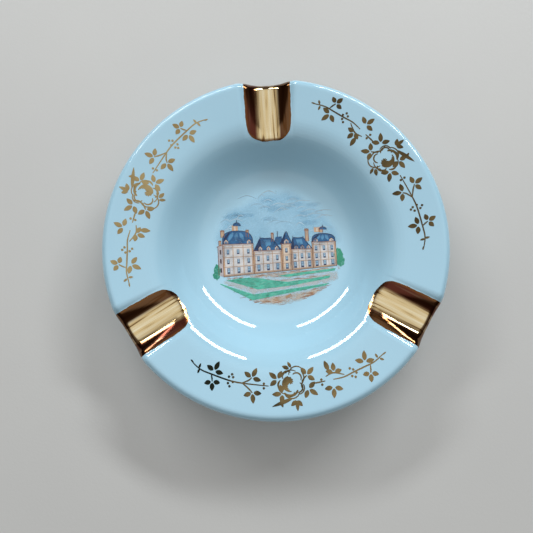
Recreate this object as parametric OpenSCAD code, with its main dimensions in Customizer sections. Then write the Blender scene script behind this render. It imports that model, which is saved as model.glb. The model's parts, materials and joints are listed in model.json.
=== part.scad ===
// Round porcelain ashtray with a wide rim, three gilded cigarette rests,
// three gold rose sprays on the rim and a printed chateau view in the well.
// Z is up, the foot ring stands on Z = 0 and the plate's axis is the Z axis.
// The chateau stands upright towards +Y, and the first rest points that way.

/* [Plate] */
// Diameter over the edge of the rim
plate_d = 135; // [120:1:165]
// Height of the rim's edge above the table
plate_h = 25; // [20.5:0.5:31]
// Width of the rim, from its edge in to the shoulder of the well
rim_w = 21.5; // [18:0.5:25]
// Rise of the rim from the shoulder out to its edge
rim_rise = 4; // [2:0.25:5]
// Slope of the well's wall, in degrees from level
wall_angle = 46; // [40:1:55]
// Rounding where the wall runs down into the floor
floor_round = 20; // [6:1:21]
// Rounding of the shoulder between rim and wall
shoulder_round = 18; // [4:0.5:20]
// Rounding of the rim's edge
lip_round = 1.8; // [0.8:0.1:1.9]
// Thickness of the glazed porcelain
body_t = 4.2; // [4:0.1:5]

/* [Foot] */
// Depth of the hollow inside the foot ring
foot_h = 2; // [1.5:0.25:3]
// Width of the foot ring
foot_w = 3.2; // [2.6:0.1:4]
// Reach of the foot ring past the corner of the well's floor
foot_reach = 2.5; // [2:0.5:4]
// Rounding of the foot ring's edges
foot_round = 1; // [0.5:0.1:1.2]
// Height of the unglazed band around the foot
bare_h = 0.5; // [0.4:0.1:1]

/* [Cigarette rests] */
// Width of a rest where it cuts the rim
rest_w = 19; // [14:0.5:23]
// Depth of a rest at the rim's edge
rest_depth = 5.4; // [5:0.2:8]
// Slope of a rest down towards the well, in degrees
rest_slope = 2; // [2:0.5:8]
// Thickness of the porcelain under a rest
rest_wall = 3.6; // [3:0.1:4.4]
// Setback of a rest's outer end from the rim's edge
rest_setback = 0.4; // [0.2:0.1:2]
// Turn of the left rest from the back one, which points towards +Y
rest_left = 119.5; // [112:0.5:128]
// Turn of the right rest from the back one
rest_right = 238.5; // [232:0.5:248]

/* [Coatings] */
// Thickness of the glaze
glaze_t = 0.25; // [0.2:0.05:0.4]
// Thickness of the gold lining in the rests
gold_t = 0.12; // [0.08:0.02:0.2]
// Thickness of one printed layer
ink_t = 0.08; // [0.05:0.01:0.15]

/* [Gold sprays] */
// Distance of a spray's stem inside the rim's edge
spray_inset = 11.5; // [10:0.5:13]
// Length of a spray along its stem
spray_l = 77; // [60:1:85]
// Length of a leaf
leaf_l = 3.9; // [2.5:0.1:5]
// Width of a leaf
leaf_w = 1.9; // [1.2:0.1:2.4]
// Width of a stem
stem_w = 0.55; // [0.4:0.05:0.9]
// Radius of the ring that the rose's petals stand on
rose_r = 3.4; // [2.5:0.1:4]
// Radius of the curve that a spray's stem follows
spray_curve_r = 68; // [56:1:80]
// Turn about the plate's axis, outward shift and sideways shift of the left spray
spray_left = [153.5, -1, 0]; // [-4:0.5:180]
// Turn about the plate's axis, outward shift and sideways shift of the front spray
spray_front = [269, -1, 3.5]; // [-4:0.5:280]
// Turn about the plate's axis, outward shift and sideways shift of the right spray
spray_right = [32, 0, 0]; // [-4:0.5:60]

/* [Printed view] */
// Length of the chateau's front
front_l = 49; // [36:1:54]
// Height of the end pavilions' walls
pavilion_h = 12; // [9:0.5:14]
// Height of the two wings' walls
wing_h = 9; // [7:0.5:10]
// Width of a window
window_w = 0.9; // [0.6:0.1:1.2]
// Width of a printed line
line_w = 0.3; // [0.2:0.05:0.5]
// Drop of the chateau's ground line below the middle of the well
ground_drop = 9; // [6:0.5:11]
// Shift of the chateau to the right of the middle of the well
view_shift = 0.7; // [-1:0.1:2]

/* [Hidden] */
$fn = 96;
arc_steps = 7;

plate_r = plate_d / 2;
rim_angle = atan2(rim_rise, rim_w);
shoulder_r = plate_r - rim_w;
shoulder_z = plate_h - rim_rise;
floor_z = foot_h + body_t;
floor_r = shoulder_r - (shoulder_z - floor_z) / tan(wall_angle);
edge_t = body_t / cos(rim_angle);      // the rim's thickness measured upright at its edge
foot_r = floor_r + foot_reach;
foot_top_z = floor_z + foot_reach * tan(wall_angle) - body_t / cos(wall_angle);

rest_r = (rest_w * rest_w / 4 + rest_depth * rest_depth) / (2 * rest_depth);
rest_turns = [90, 90 + rest_left, 90 + rest_right];
rest_outer_r = plate_r - rest_setback;

spray_r = plate_r - spray_inset;
spray_half = spray_l / 2 / spray_curve_r * 180 / PI;
leaf_steps = 4;
stem_steps = 6;

// ---- Outlines with rounded corners ---------------------------------------------------------

function unit(v) = v / norm(v);
function right_of(v) = [v[1], -v[0]];
function flat(lists) = [for (l = lists) each l];

// Corner b of the chain a, b, c, moved by t to the right of the way the chain runs
function moved(a, b, c, t) =
    let (n = right_of(unit(b - a)), m = right_of(unit(c - b)))
    b + t * (n + m) / (1 + n * m);

// Arc of radius r in place of corner b, or the corner itself where r is 0
function arc_at(a, b, c, r) =
    let (
        u = unit(a - b),
        v = unit(c - b),
        half = acos(u * v) / 2,
        centre = b + unit(u + v) * r / sin(half),
        start = b + u * r / tan(half) - centre,
        end = b + v * r / tan(half) - centre,
        from = atan2(start[1], start[0]),
        turn = (atan2(end[1], end[0]) - from + 900) % 360 - 180
    )
    r <= 0 ? [b] : [
        for (i = [0 : arc_steps])
            centre + r * [cos(from + turn * i / arc_steps), sin(from + turn * i / arc_steps)]
    ];

// Points of a chain of [radius, height, rounding] corners, moved t into the clay on its right.
// The first and last corner keep no rounding.
function rounded(corners, t) =
    let (
        last = len(corners) - 1,
        p = [for (c = corners) [c[0], c[1]]],
        q = [
            for (i = [0 : last])
                moved(i == 0 ? [-p[1][0], p[1][1]] : p[i - 1],
                      p[i],
                      i == last ? 2 * p[last] - p[last - 1] : p[i + 1], t)
        ],
        side = [
            for (i = [1 : last - 1])
                cross(p[i] - p[i - 1], p[i + 1] - p[i]) < 0 ? -1 : 1
        ]
    )
    concat(
        [q[0]],
        flat([
            for (i = [1 : last - 1])
                arc_at(q[i - 1], q[i], q[i + 1],
                       corners[i][2] == 0 ? 0 : corners[i][2] + side[i - 1] * t)
        ]),
        [q[last]]
    );

// Upper surface from the axis out to radius end_r
function well_line(end_r, t) = rounded([
    [0, floor_z, 0],
    [floor_r, floor_z, floor_round],
    [shoulder_r, shoulder_z, shoulder_round],
    [end_r, plate_h - (plate_r - end_r) * tan(rim_angle), 0]
], t);

under_shoulder = moved([floor_r, floor_z], [shoulder_r, shoulder_z], [plate_r, plate_h], body_t);

// Whole section of the plate. The foot's underside is at foot_z once the section is moved in.
function plate_line(t, foot_z, foot_edge) = rounded([
    [0, floor_z, 0],
    [floor_r, floor_z, floor_round],
    [shoulder_r, shoulder_z, shoulder_round],
    [plate_r, plate_h, lip_round],
    [plate_r, plate_h - edge_t, lip_round],
    [under_shoulder[0], under_shoulder[1], shoulder_round],
    [foot_r, foot_top_z, foot_round],
    [foot_r, foot_z - t, foot_edge],
    [foot_r - foot_w, foot_z - t, foot_edge],
    [foot_r - foot_w, foot_h, foot_round],
    [0, foot_h, 0]
], t);

// ---- Porcelain and glaze -------------------------------------------------------------------

// Rod of radius r along a rest, from over the well to past the rim's edge
module rest_rod(r)
    translate([plate_r, 0, plate_h - rest_depth + rest_r])
        rotate([0, -90 - rest_slope, 0])
            translate([0, 0, -plate_r / 4])
                cylinder(h = plate_r, r = r);

// Everything under the plate's upper surface and its rounded lip, out to radius end_r
module under_lip(end_r)
    intersection() {
        rotate_extrude()
            polygon(rounded([
                [0, floor_z, 0],
                [floor_r, floor_z, floor_round],
                [shoulder_r, shoulder_z, shoulder_round],
                [plate_r, plate_h, lip_round],
                [plate_r, 0, 0],
                [0, 0, 0]
            ], 0));
        cylinder(h = plate_h, r = end_r);
    }

// Everything more than t under the plate's upper surface, out to radius end_r
module under_surface(t, end_r) {
    top = well_line(end_r, t);
    outer = top[len(top) - 1];
    rotate_extrude()
        polygon(concat([[0, 0]], top, [[outer[0], 0]]));
}

// The plate with its surfaces moved t inwards
module plate_solid(t, foot_z, foot_edge)
    difference() {
        union() {
            rotate_extrude()
                polygon(plate_line(t, foot_z, foot_edge));
            for (turn = rest_turns)
                intersection() {
                    rotate([0, 0, turn])
                        rest_rod(rest_r + rest_wall - t);
                    under_surface(body_t / 2, rest_outer_r - t);
                }
        }
        for (turn = rest_turns)
            rotate([0, 0, turn])
                rest_rod(rest_r + t);
    }

module porcelain_body()
    color("white")
        plate_solid(glaze_t, 0, foot_round);

module glaze_coat()
    color("lightcyan")
        difference() {
            plate_solid(0, bare_h, 0);
            plate_solid(glaze_t, 0, foot_round);
        }

// ---- Gilding of the rests ------------------------------------------------------------------

module rest_gilding(turn)
    color("gold")
        intersection() {
            rotate([0, 0, turn])
                difference() {
                    rest_rod(rest_r);
                    rest_rod(rest_r - gold_t);
                }
            under_lip(rest_outer_r);
        }

// ---- Printed films -------------------------------------------------------------------------

function reversed(list) = [for (i = [len(list) - 1 : -1 : 0]) list[i]];

// The flat art that follows, laid on the upper surface as layer number level, counted from 1
module printed(level)
    intersection() {
        linear_extrude(height = plate_h + 1)
            children();
        rotate_extrude()
            polygon(concat(
                well_line(rest_outer_r, (1 - level) * ink_t),
                reversed(well_line(rest_outer_r, -level * ink_t))
            ));
    }

// ---- Gold sprays ---------------------------------------------------------------------------

function leaf_edge(i, side) =
    [leaf_l * i / leaf_steps, side * leaf_w / 2 * sin(180 * i / leaf_steps)];

// Pointed leaf along +X from the origin
module leaf()
    polygon(concat(
        [for (i = [0 : leaf_steps - 1]) leaf_edge(i, 1)],
        [for (i = [leaf_steps : -1 : 1]) leaf_edge(i, -1)]
    ));

// Three leaves on a short stalk along +X
module leaf_cluster() {
    translate([0, -stem_w / 2])
        square([leaf_l / 2, stem_w]);
    for (a = [-75, 0, 75])
        translate([leaf_l / 3, 0])
            rotate(a)
                leaf();
}

module dot()
    circle(r = stem_w, $fn = 8);

// What follows, placed on the stem at an angle from the spray's middle
module on_stem(a, out = 0)
    rotate(a)
        translate([spray_curve_r + out, 0])
            children();

// Stem along the spray's arc, between two angles from its middle
module stem(a0, a1) {
    turns = [for (i = [0 : stem_steps]) a0 + (a1 - a0) * i / stem_steps];
    polygon(concat(
        [for (a = turns) (spray_curve_r + stem_w / 2) * [cos(a), sin(a)]],
        [for (a = reversed(turns)) (spray_curve_r - stem_w / 2) * [cos(a), sin(a)]]
    ));
}

// Open rose: petals round a heart, with leaves between them
module rose() {
    circle(r = rose_r * 0.6, $fn = 12);
    for (a = [0 : 60 : 300])
        rotate(a)
            translate([rose_r, 0])
                circle(r = rose_r * 0.42, $fn = 10);
    for (a = [36 : 72 : 324])
        rotate(a)
            translate([rose_r * 1.1, 0])
                leaf_cluster();
}

// A whole spray about the centre of its curve, its middle on +X
module spray_art() {
    on_stem(0)
        rose();
    for (side = [-1, 1]) {
        stem(side * spray_half * 0.3, side * spray_half * 0.92);
        for (place = [0.46, 0.82])
            for (out = [0, 180])
                on_stem(side * spray_half * place)
                    rotate(out)
                        leaf_cluster();
        for (out = [-1.6, 1.6] * stem_w)
            on_stem(side * spray_half * 0.64, out)
                dot();
        on_stem(side * spray_half * 0.9)
            rotate(side * 90)
                leaf();
    }
}

// Each spray is one transfer, laid by hand a little off the middle between two rests
module gold_spray(spot)
    color("goldenrod")
        printed(1)
            rotate(spot[0])
                translate([spray_r + spot[1] - spray_curve_r, spot[2]])
                    offset(delta = 0.02)
                        spray_art();

// ---- Printed view of a chateau -------------------------------------------------------------

// The front is drawn in perspective: its ground line climbs and its heights shrink to the right
front_climb = 0.047;
front_shrink = 0.006;
function seen(x, h) =
    [x + view_shift, front_climb * x + h * (1 - front_shrink * x) - ground_drop];

// The front runs pavilion, wing, middle bay, wing, pavilion
front_x = [-0.5, -0.2, 0.04, 0.12, 0.3, 0.5] * front_l;
bay_h = (pavilion_h + wing_h) / 2 + 1;
wall_h = [pavilion_h, wing_h, bay_h, wing_h, pavilion_h];
window_columns = [3, 3, 1, 3, 3];
window_rows = [3, 2, 3, 2, 3];
roof_h = wing_h * 0.55;

module panel(x0, x1, h0, h1)
    polygon([seen(x0, h0), seen(x0, h1), seen(x1, h1), seen(x1, h0)]);

module all_walls()
    for (b = [0 : 4])
        panel(front_x[b], front_x[b + 1], 0, wall_h[b]);

module all_windows()
    for (b = [0 : 4])
        for (c = [0 : window_columns[b] - 1])
            for (row = [0 : window_rows[b] - 1]) {
                bay_w = (front_x[b + 1] - front_x[b]) / window_columns[b];
                storey = wall_h[b] / (window_rows[b] + 0.3);
                x = front_x[b] + (c + 0.5) * bay_w;
                h = storey * (row + 0.3);
                panel(x - window_w / 2, x + window_w / 2, h, h + storey * 0.55);
            }

// Domed roof over a pavilion, with a small lantern under a pointed cap
lantern_w = 2;
lantern_h = 1.5;
cap_w = 2.4;
module dome(x0, x1, h) {
    mid = (x0 + x1) / 2;
    half = (x1 - x0) / 2;
    top = h + half * 0.74;
    polygon([for (a = [180 : -15 : 0]) seen(mid + half * cos(a), h + (top - h) * sin(a))]);
    panel(mid - lantern_w / 2, mid + lantern_w / 2, top - lantern_h / 2, top + lantern_h);
    polygon([
        seen(mid - cap_w / 2, top + lantern_h - line_w / 2),
        seen(mid, top + 2 * lantern_h),
        seen(mid + cap_w / 2, top + lantern_h - line_w / 2)
    ]);
}

// Hipped roof over a wing, as a share of its length drawn in at each end
module hipped_roof(x0, x1, h, rise, drawn_in)
    polygon([
        seen(x0, h),
        seen(x0 + (x1 - x0) * drawn_in, h + rise),
        seen(x1 - (x1 - x0) * drawn_in, h + rise),
        seen(x1, h)
    ]);

module all_roofs() {
    dome(front_x[0], front_x[1], pavilion_h);
    dome(front_x[4], front_x[5], pavilion_h);
    hipped_roof(front_x[1], front_x[2], wing_h, roof_h, 0.3);
    hipped_roof(front_x[3], front_x[4], wing_h, roof_h, 0.3);
    hipped_roof(front_x[2], front_x[3], bay_h, roof_h, 0.48);
}

// Bands of lawn and path in turn below the ground line, shorter the nearer they are
band_edges = [-1.2, -3.2, -4.4, -6.9, -8.1, -10.6, -13.8];
band_l = front_l * 0.98;
module band(i)
    panel(-band_l / 2 + 2 * i, band_l / 2 - i, band_edges[i + 1], band_edges[i]);

// The lawns, and a round bush at each end of the front
bush_r = 1.3;
module all_lawns() {
    for (i = [0, 2, 4])
        band(i);
    for (end = [-1, 1])
        translate(seen(end * (front_l / 2 + bush_r * 1.1), 2 * bush_r))
            circle(r = bush_r, $fn = 24);
}

module all_paths() {
    panel(-band_l / 2, band_l / 2, band_edges[0], 0);
    for (i = [1, 3, 5])
        band(i);
}

// Lines run inside the walls' outlines, clear of the windows
module all_lines() {
    for (b = [0 : 4])
        panel(front_x[b], front_x[b + 1], wall_h[b] - line_w, wall_h[b]);
    for (b = [0 : 4])
        for (x = [front_x[b], front_x[b + 1] - line_w])
            panel(x, x + line_w, 0, wall_h[b] - 2 * line_w);
}

// Sky as overlapping round washes behind the chateau, the outer ones lower
wash_x = [-0.34, -0.11, 0.15, 0.4] * front_l;
wash_r = front_l * 0.19;
wash_top = front_l * 0.29;
wash_bend = front_l * 1.1;
module all_sky()
    difference() {
        for (x = wash_x)
            translate([x, wash_top - x * x / wash_bend])
                circle(r = wash_r, $fn = 48);
        offset(delta = line_w) {
            all_walls();
            all_roofs();
            all_lawns();
            all_paths();
        }
    }

module picture_sky()
    color("lightsteelblue")
        printed(1)
            offset(delta = 0.01)
                all_sky();

module picture_walls()
    color("wheat")
        printed(1)
            offset(delta = 0.01)
                all_walls();

module picture_roofs()
    color("steelblue")
        printed(1)
            offset(delta = -0.02)
                difference() {
                    all_roofs();
                    all_walls();
                }

module picture_greenery()
    color("mediumseagreen")
        printed(1)
            offset(delta = -0.02)
                all_lawns();

module picture_paths()
    color("tan")
        printed(1)
            offset(delta = -0.02)
                difference() {
                    all_paths();
                    all_lawns();
                }

module picture_windows()
    color("lightblue")
        printed(2)
            offset(delta = -0.01)
                all_windows();

module picture_linework()
    color("saddlebrown")
        printed(2)
            offset(delta = 0.01)
                difference() {
                    all_lines();
                    all_windows();
                }

porcelain_body();
glaze_coat();
rest_gilding(rest_turns[0]);  // rest_gilding_back
rest_gilding(rest_turns[1]);  // rest_gilding_left
rest_gilding(rest_turns[2]);  // rest_gilding_right
gold_spray(spray_left);  // gold_spray_left
gold_spray(spray_front);  // gold_spray_front
gold_spray(spray_right);  // gold_spray_right
picture_sky();
picture_walls();
picture_roofs();
picture_greenery();
picture_paths();
picture_windows();
picture_linework();
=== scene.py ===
import json
import math
import random
import bpy
import numpy as np
from mathutils import Matrix, Vector
from mathutils.geometry import delaunay_2d_cdt


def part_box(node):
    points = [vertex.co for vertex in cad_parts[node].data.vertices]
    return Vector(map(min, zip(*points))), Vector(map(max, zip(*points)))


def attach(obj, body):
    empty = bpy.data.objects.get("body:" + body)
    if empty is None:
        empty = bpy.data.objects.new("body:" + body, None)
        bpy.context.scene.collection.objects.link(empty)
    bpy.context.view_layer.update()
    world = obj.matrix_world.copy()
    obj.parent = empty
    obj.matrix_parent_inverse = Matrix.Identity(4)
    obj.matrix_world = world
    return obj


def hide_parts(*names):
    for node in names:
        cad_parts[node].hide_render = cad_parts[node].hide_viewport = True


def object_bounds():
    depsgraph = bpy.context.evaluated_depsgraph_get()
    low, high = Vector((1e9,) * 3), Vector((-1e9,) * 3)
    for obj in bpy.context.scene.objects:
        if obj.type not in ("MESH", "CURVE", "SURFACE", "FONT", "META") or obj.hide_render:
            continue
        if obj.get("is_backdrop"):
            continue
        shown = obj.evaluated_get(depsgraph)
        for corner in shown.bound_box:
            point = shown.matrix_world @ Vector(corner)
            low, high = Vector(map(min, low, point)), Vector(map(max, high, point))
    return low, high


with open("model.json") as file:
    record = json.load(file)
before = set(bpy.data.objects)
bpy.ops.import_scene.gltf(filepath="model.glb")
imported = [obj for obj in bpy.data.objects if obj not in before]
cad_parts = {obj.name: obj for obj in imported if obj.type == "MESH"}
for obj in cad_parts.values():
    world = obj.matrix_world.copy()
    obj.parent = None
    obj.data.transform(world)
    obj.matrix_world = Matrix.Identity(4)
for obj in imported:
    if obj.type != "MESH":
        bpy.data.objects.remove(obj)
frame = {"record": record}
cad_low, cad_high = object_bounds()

# ---- Porcelain body ------------------------------------------------------------------------
# The cast body of the ashtray: a deep well in a wide rim, cut by three cigarette rests, on a
# foot ring. Hard white porcelain, glazed all over except where the foot stood in the kiln.

mm = 0.001
plate_r = (cad_high.x - cad_low.x) / 2 / mm
rim_w = 21.5
rim_rise = 4.0
wall_slope = math.tan(math.radians(46))
floor_round = 20.0
shoulder_round = 18.0
lip_round = 1.8
lip_crown = 2.6
lip_heel = 1.2
body_t = 4.2
foot_h = 2.0
foot_w = 3.2
foot_reach = 2.5
foot_round = 1.0
bare_h = 0.5
glaze_t = 0.25

rim_slope = rim_rise / rim_w
lip_drop = lip_round * (rim_slope + math.hypot(1, rim_slope) - 1)
plate_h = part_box("glaze_coat")[1].z / mm + lip_drop
shoulder_r = plate_r - rim_w
shoulder_z = plate_h - rim_rise
floor_z = foot_h + body_t
floor_r = shoulder_r - (shoulder_z - floor_z) / wall_slope
edge_t = body_t * math.hypot(1, rim_slope)
foot_r = floor_r + foot_reach
foot_top_z = floor_z + foot_reach * wall_slope - body_t * math.hypot(1, wall_slope)


def corner_arc(before, corner, after, radius, steps=9):
    """Points of the rounding of one corner of a section, or the corner itself where it is sharp."""
    before, corner, after = (np.array(p[:2], float) for p in (before, corner, after))
    if radius == 0:
        return [corner]
    u = (before - corner) / np.linalg.norm(before - corner)
    v = (after - corner) / np.linalg.norm(after - corner)
    half = math.acos(float(u @ v)) / 2
    centre = corner + (u + v) / np.linalg.norm(u + v) * radius / math.sin(half)
    start = corner + u * radius / math.tan(half) - centre
    end = corner + v * radius / math.tan(half) - centre
    first = math.atan2(start[1], start[0])
    turn = (math.atan2(end[1], end[0]) - first + math.pi) % (2 * math.pi) - math.pi
    angles = [first + turn * i / (steps - 1) for i in range(steps)]
    return [centre + radius * np.array([math.cos(a), math.sin(a)]) for a in angles]


def rounded_line(corners):
    """A chain of (radius, height, rounding) corners as a line with its corners rounded."""
    line = [np.array(corners[0][:2], float)]
    for before, corner, after in zip(corners, corners[1:], corners[2:]):
        line += corner_arc(before, corner, after, corner[2])
    line.append(np.array(corners[-1][:2], float))
    return np.array(line)


def under_shoulder():
    """The shoulder's corner on the underside, one body thickness from both faces above it."""
    wall = math.atan(wall_slope)
    rim = math.atan(rim_slope)
    reach = body_t / math.cos((wall - rim) / 2)
    lean = (wall + rim) / 2
    return (shoulder_r + reach * math.sin(lean), shoulder_z - reach * math.cos(lean))


upper_corners = [(0, floor_z, 0), (floor_r, floor_z, floor_round),
                 (shoulder_r, shoulder_z, shoulder_round), (plate_r, plate_h, 0)]
under_corners = [(foot_r, foot_top_z, 0), (*under_shoulder(), shoulder_round),
                 (plate_r, plate_h - edge_t, 0)]
upper_line = rounded_line(upper_corners)
under_line = rounded_line(under_corners)


def plate_section(foot_z, foot_edge):
    """The whole section from the middle of the well over the lip to the middle underneath."""
    return rounded_line(
        upper_corners[:3]
        + [(plate_r, plate_h, lip_crown), (plate_r, plate_h - edge_t, lip_heel)]
        + [(*under_shoulder(), shoulder_round), (foot_r, foot_top_z, foot_round)]
        + [(foot_r, foot_z, foot_edge), (foot_r - foot_w, foot_z, foot_edge)]
        + [(foot_r - foot_w, foot_h, foot_round), (0, foot_h, 0)])


def finely_stepped(line, step_at):
    """The line with extra points, so that no step is longer than step_at(radius, height)."""
    points = [line[0]]
    for a, b in zip(line, line[1:]):
        count = max(1, math.ceil(np.linalg.norm(b - a) / step_at(*((a + b) / 2))))
        points += [a + (b - a) * i / count for i in range(1, count + 1)]
    return np.array(points)


def moved_in(line, depth):
    """The section line moved into the clay by depth."""
    along = np.gradient(line, axis=0)
    along /= np.linalg.norm(along, axis=1)[:, None]
    moved = line + depth * np.stack([along[:, 1], -along[:, 0]], axis=1)
    moved[0] = (0, line[0][1] - depth)
    moved[-1] = (0, line[-1][1] + depth)
    return moved


# The rests: round-bottomed troughs across the rim, sloping down a little towards the well
rest_w = 19.0
rest_depth = 5.4
rest_slope = math.tan(math.radians(2))
rest_wall = 3.6
rest_setback = 0.4
roll_reach = 3.2
under_roll = 2.0
kiln_sag = 0.05
side_lean = math.radians(60)
rest_r = (rest_w ** 2 / 4 + rest_depth ** 2) / (2 * rest_depth)

opening_boxes = {o["name"]: o["box_m"] for o in frame["record"]["physics"]["openings"]}


def opening_turn(name):
    """The direction from the plate's axis to the middle of one of the record's openings."""
    low, high = opening_boxes[name]
    return math.atan2(low[1] + high[1], low[0] + high[0])


rest_turns = [opening_turn("rest_back"), opening_turn("rest_left_outer"),
              opening_turn("rest_right_outer")]


def rest_place(x, y, turn):
    """Distances out along a rest's axis and sideways from it."""
    return (x * math.cos(turn) + y * math.sin(turn), y * math.cos(turn) - x * math.sin(turn))


def trough_height(out, side, radius):
    """Height of a round trough about a rest's axis, carried on straight past its steep sides."""
    axis_z = plate_h - rest_depth + rest_r + (out - plate_r) * rest_slope
    widest = radius * math.sin(side_lean)
    round_part = np.minimum(np.abs(side), widest)
    past = (np.abs(side) - round_part) * math.tan(side_lean)
    return axis_z - np.sqrt(radius ** 2 - round_part ** 2) + past


def rolled_min(a, b, reach):
    """The lower of two heights, with the edge between them rolled over."""
    near = np.clip(reach - np.abs(a - b), 0, None) / reach
    return np.minimum(a, b) - near ** 2 * reach / 4


def kiln_warp(x, y):
    """The rim's slight sag from the firing, which only ever lowers it."""
    turn = np.arctan2(y, x)
    wave = 2 - np.cos(2 * turn + 0.7) - 0.6 * np.cos(3 * turn - 1.1)
    return kiln_sag * wave * (np.hypot(x, y) / plate_r) ** 2


def upper_height(x, y):
    """Height of the glazed upper surface, rests included."""
    r = np.hypot(x, y)
    z = np.interp(r, upper_line[:, 0], upper_line[:, 1])
    steep = np.interp(r, upper_line[:-1, 0], np.diff(upper_line[:, 1]) / np.diff(upper_line[:, 0]))
    for turn in rest_turns:
        out, side = rest_place(x, y, turn)
        lean = np.minimum(np.abs(side) / rest_r, math.sin(side_lean))
        across = lean / np.sqrt(1 - lean ** 2)
        reach = roll_reach * np.hypot(across, steep - rest_slope)
        trough = np.where(out > 0, trough_height(out, side, rest_r), plate_h * 3)
        z = rolled_min(z, trough, np.clip(reach, 0.4, None))
    return z - kiln_warp(x, y)


def under_height(x, y):
    """Height of the underside outside the foot, with the bulges that carry the rests."""
    z = np.interp(np.hypot(x, y), under_line[:, 0], under_line[:, 1])
    for turn in rest_turns:
        out, side = rest_place(x, y, turn)
        bulge = np.where(out > 0, trough_height(out, side, rest_r + rest_wall), plate_h * 3)
        z = rolled_min(z, bulge, under_roll)
    return z - kiln_warp(x, y)


def smooth_step(low, high, value):
    t = np.clip((value - low) / (high - low), 0, 1)
    return t * t * (3 - 2 * t)


def skin_point(r, turn, share):
    """A point of the plate outside the foot: share 1 is on the upper face, 0 on the underside."""
    x = r * np.cos(turn)
    y = r * np.sin(turn)
    top = upper_height(x, y)
    bottom = under_height(x, y)
    cut = smooth_step(0, rest_depth, np.interp(r, upper_line[:, 0], upper_line[:, 1]) - top)
    inward = 1 - rest_setback * cut * smooth_step(60, plate_r, r) / plate_r
    return np.stack([x * inward, y * inward, bottom + share * (top - bottom)], axis=-1)


# Mesh columns run straight along the rests, where they are closest, and fan out between them
fine_turn = math.radians(15)
fan_turn = math.radians(45)
column_r = 50.0


def plate_columns(fine_step, coarse_step):
    turns = []
    for turn in rest_turns:
        count = round(fine_turn / fine_step)
        turns += [turn + fine_turn * i / count for i in range(-count, count + 1)]
    ordered = sorted(t % (2 * math.pi) for t in turns)
    columns = []
    for a, b in zip(ordered, ordered[1:] + [ordered[0] + 2 * math.pi]):
        count = max(1, round((b - a) / coarse_step)) if b - a > coarse_step else 1
        columns += [a + (b - a) * i / count for i in range(count)]
    return np.array(columns)


def column_turn(columns, r):
    """The direction of each mesh column at radius r."""
    turn = columns.copy()
    for rest in rest_turns:
        off = (columns - rest + math.pi) % (2 * math.pi) - math.pi
        straight = np.arcsin(np.clip(column_r * np.sin(off) / max(r, 1), -1, 1))
        weight = 1 - smooth_step(fine_turn, fan_turn, np.abs(off))
        turn += np.where(np.abs(off) < fan_turn, weight * smooth_step(26, 44, r) * (straight - off), 0)
    return turn


def new_piece(name, points, faces, material):
    """A mesh piece from points in millimetres, smooth-shaded, in the frame's metres."""
    mesh = bpy.data.meshes.new(name)
    mesh.from_pydata((np.array(points) * mm).tolist(), [], faces)
    mesh.shade_smooth()
    mesh.materials.append(material)
    piece = bpy.data.objects.new(name, mesh)
    bpy.context.scene.collection.objects.link(piece)
    return piece


def plate_mesh(name, inset, foot_z, foot_edge, columns, step_at, material):
    """The plate as one closed skin, with its rests, moved inset into the clay."""
    line = finely_stepped(plate_section(foot_z, foot_edge), step_at)
    lip = int(np.argmax(line[:, 0]))
    rows = []
    depth = moved_in(line, inset) - line
    for i, (r, z) in enumerate(line[1:-1], 1):
        turn = column_turn(columns, r)
        if r > foot_r and z > foot_top_z + 0.5:
            top = np.interp(r, upper_line[:, 0], upper_line[:, 1])
            bottom = np.interp(r, under_line[:, 0], under_line[:, 1])
            share = 1.0 if i < lip and z > top - 0.001 else (z - bottom) / (top - bottom)
            row = skin_point(r, turn, share)
        elif i < lip:
            row = skin_point(r, turn, 1.0)
        else:
            x = r * np.cos(turn)
            y = r * np.sin(turn)
            row = np.stack([x, y, np.full_like(x, z) - kiln_warp(x, y) * smooth_step(2, 8, z)], axis=-1)
        row[:, 0] += depth[i][0] * np.cos(turn)
        row[:, 1] += depth[i][0] * np.sin(turn)
        row[:, 2] += depth[i][1]
        rows.append(row)
    count = len(columns)
    points = [[0, 0, line[0][1] - inset]] + np.concatenate(rows).tolist()
    points.append([0, 0, line[-1][1] + inset])
    faces = []
    for j in range(count):
        k = (j + 1) % count
        faces.append([0, 1 + j, 1 + k])
        for i in range(len(rows) - 1):
            a = 1 + i * count
            b = a + count
            faces.append([a + j, b + j, b + k, a + k])
        last = 1 + (len(rows) - 1) * count
        faces.append([last + k, last + j, len(points) - 1])
    return new_piece(name, points, faces, material)


def new_material(name):
    """An empty node material, its nodes and links, and its shader."""
    material = bpy.data.materials.new(name)
    material.use_nodes = True
    nodes = material.node_tree.nodes
    return material, nodes, material.node_tree.links, nodes["Principled BSDF"]


def ink(red, green, blue):
    """A colour given as on a paint chart, 0 to 255, as the linear light it gives back."""
    return tuple(((c / 255 + 0.055) / 1.055) ** 2.4 if c > 10 else c / 3295 for c in (red, green, blue))


def feed(links, node, values):
    """Gives a node's named sockets their values: another socket to join, or a plain value."""
    for label, value in values.items():
        if isinstance(value, bpy.types.NodeSocket):
            links.new(value, node.inputs[label])
        else:
            node.inputs[label].default_value = value


def add_node(nodes, links, kind, values, **settings):
    node = nodes.new(kind)
    for label, setting in settings.items():
        setattr(node, label, setting)
    feed(links, node, values)
    return node


def add_noise(nodes, links, vector, scale, detail=2.0, roughness=0.5):
    values = {"Vector": vector, "Scale": scale, "Detail": detail, "Roughness": roughness}
    return add_node(nodes, links, "ShaderNodeTexNoise", values).outputs["Fac"]


def add_range(nodes, links, value, low, high, new_low, new_high):
    values = {"Value": value, "From Min": low, "From Max": high, "To Min": new_low, "To Max": new_high}
    return add_node(nodes, links, "ShaderNodeMapRange", values).outputs["Result"]


def add_math(nodes, links, operation, a, b):
    return add_node(nodes, links, "ShaderNodeMath", {0: a, 1: b}, operation=operation).outputs["Value"]


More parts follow.
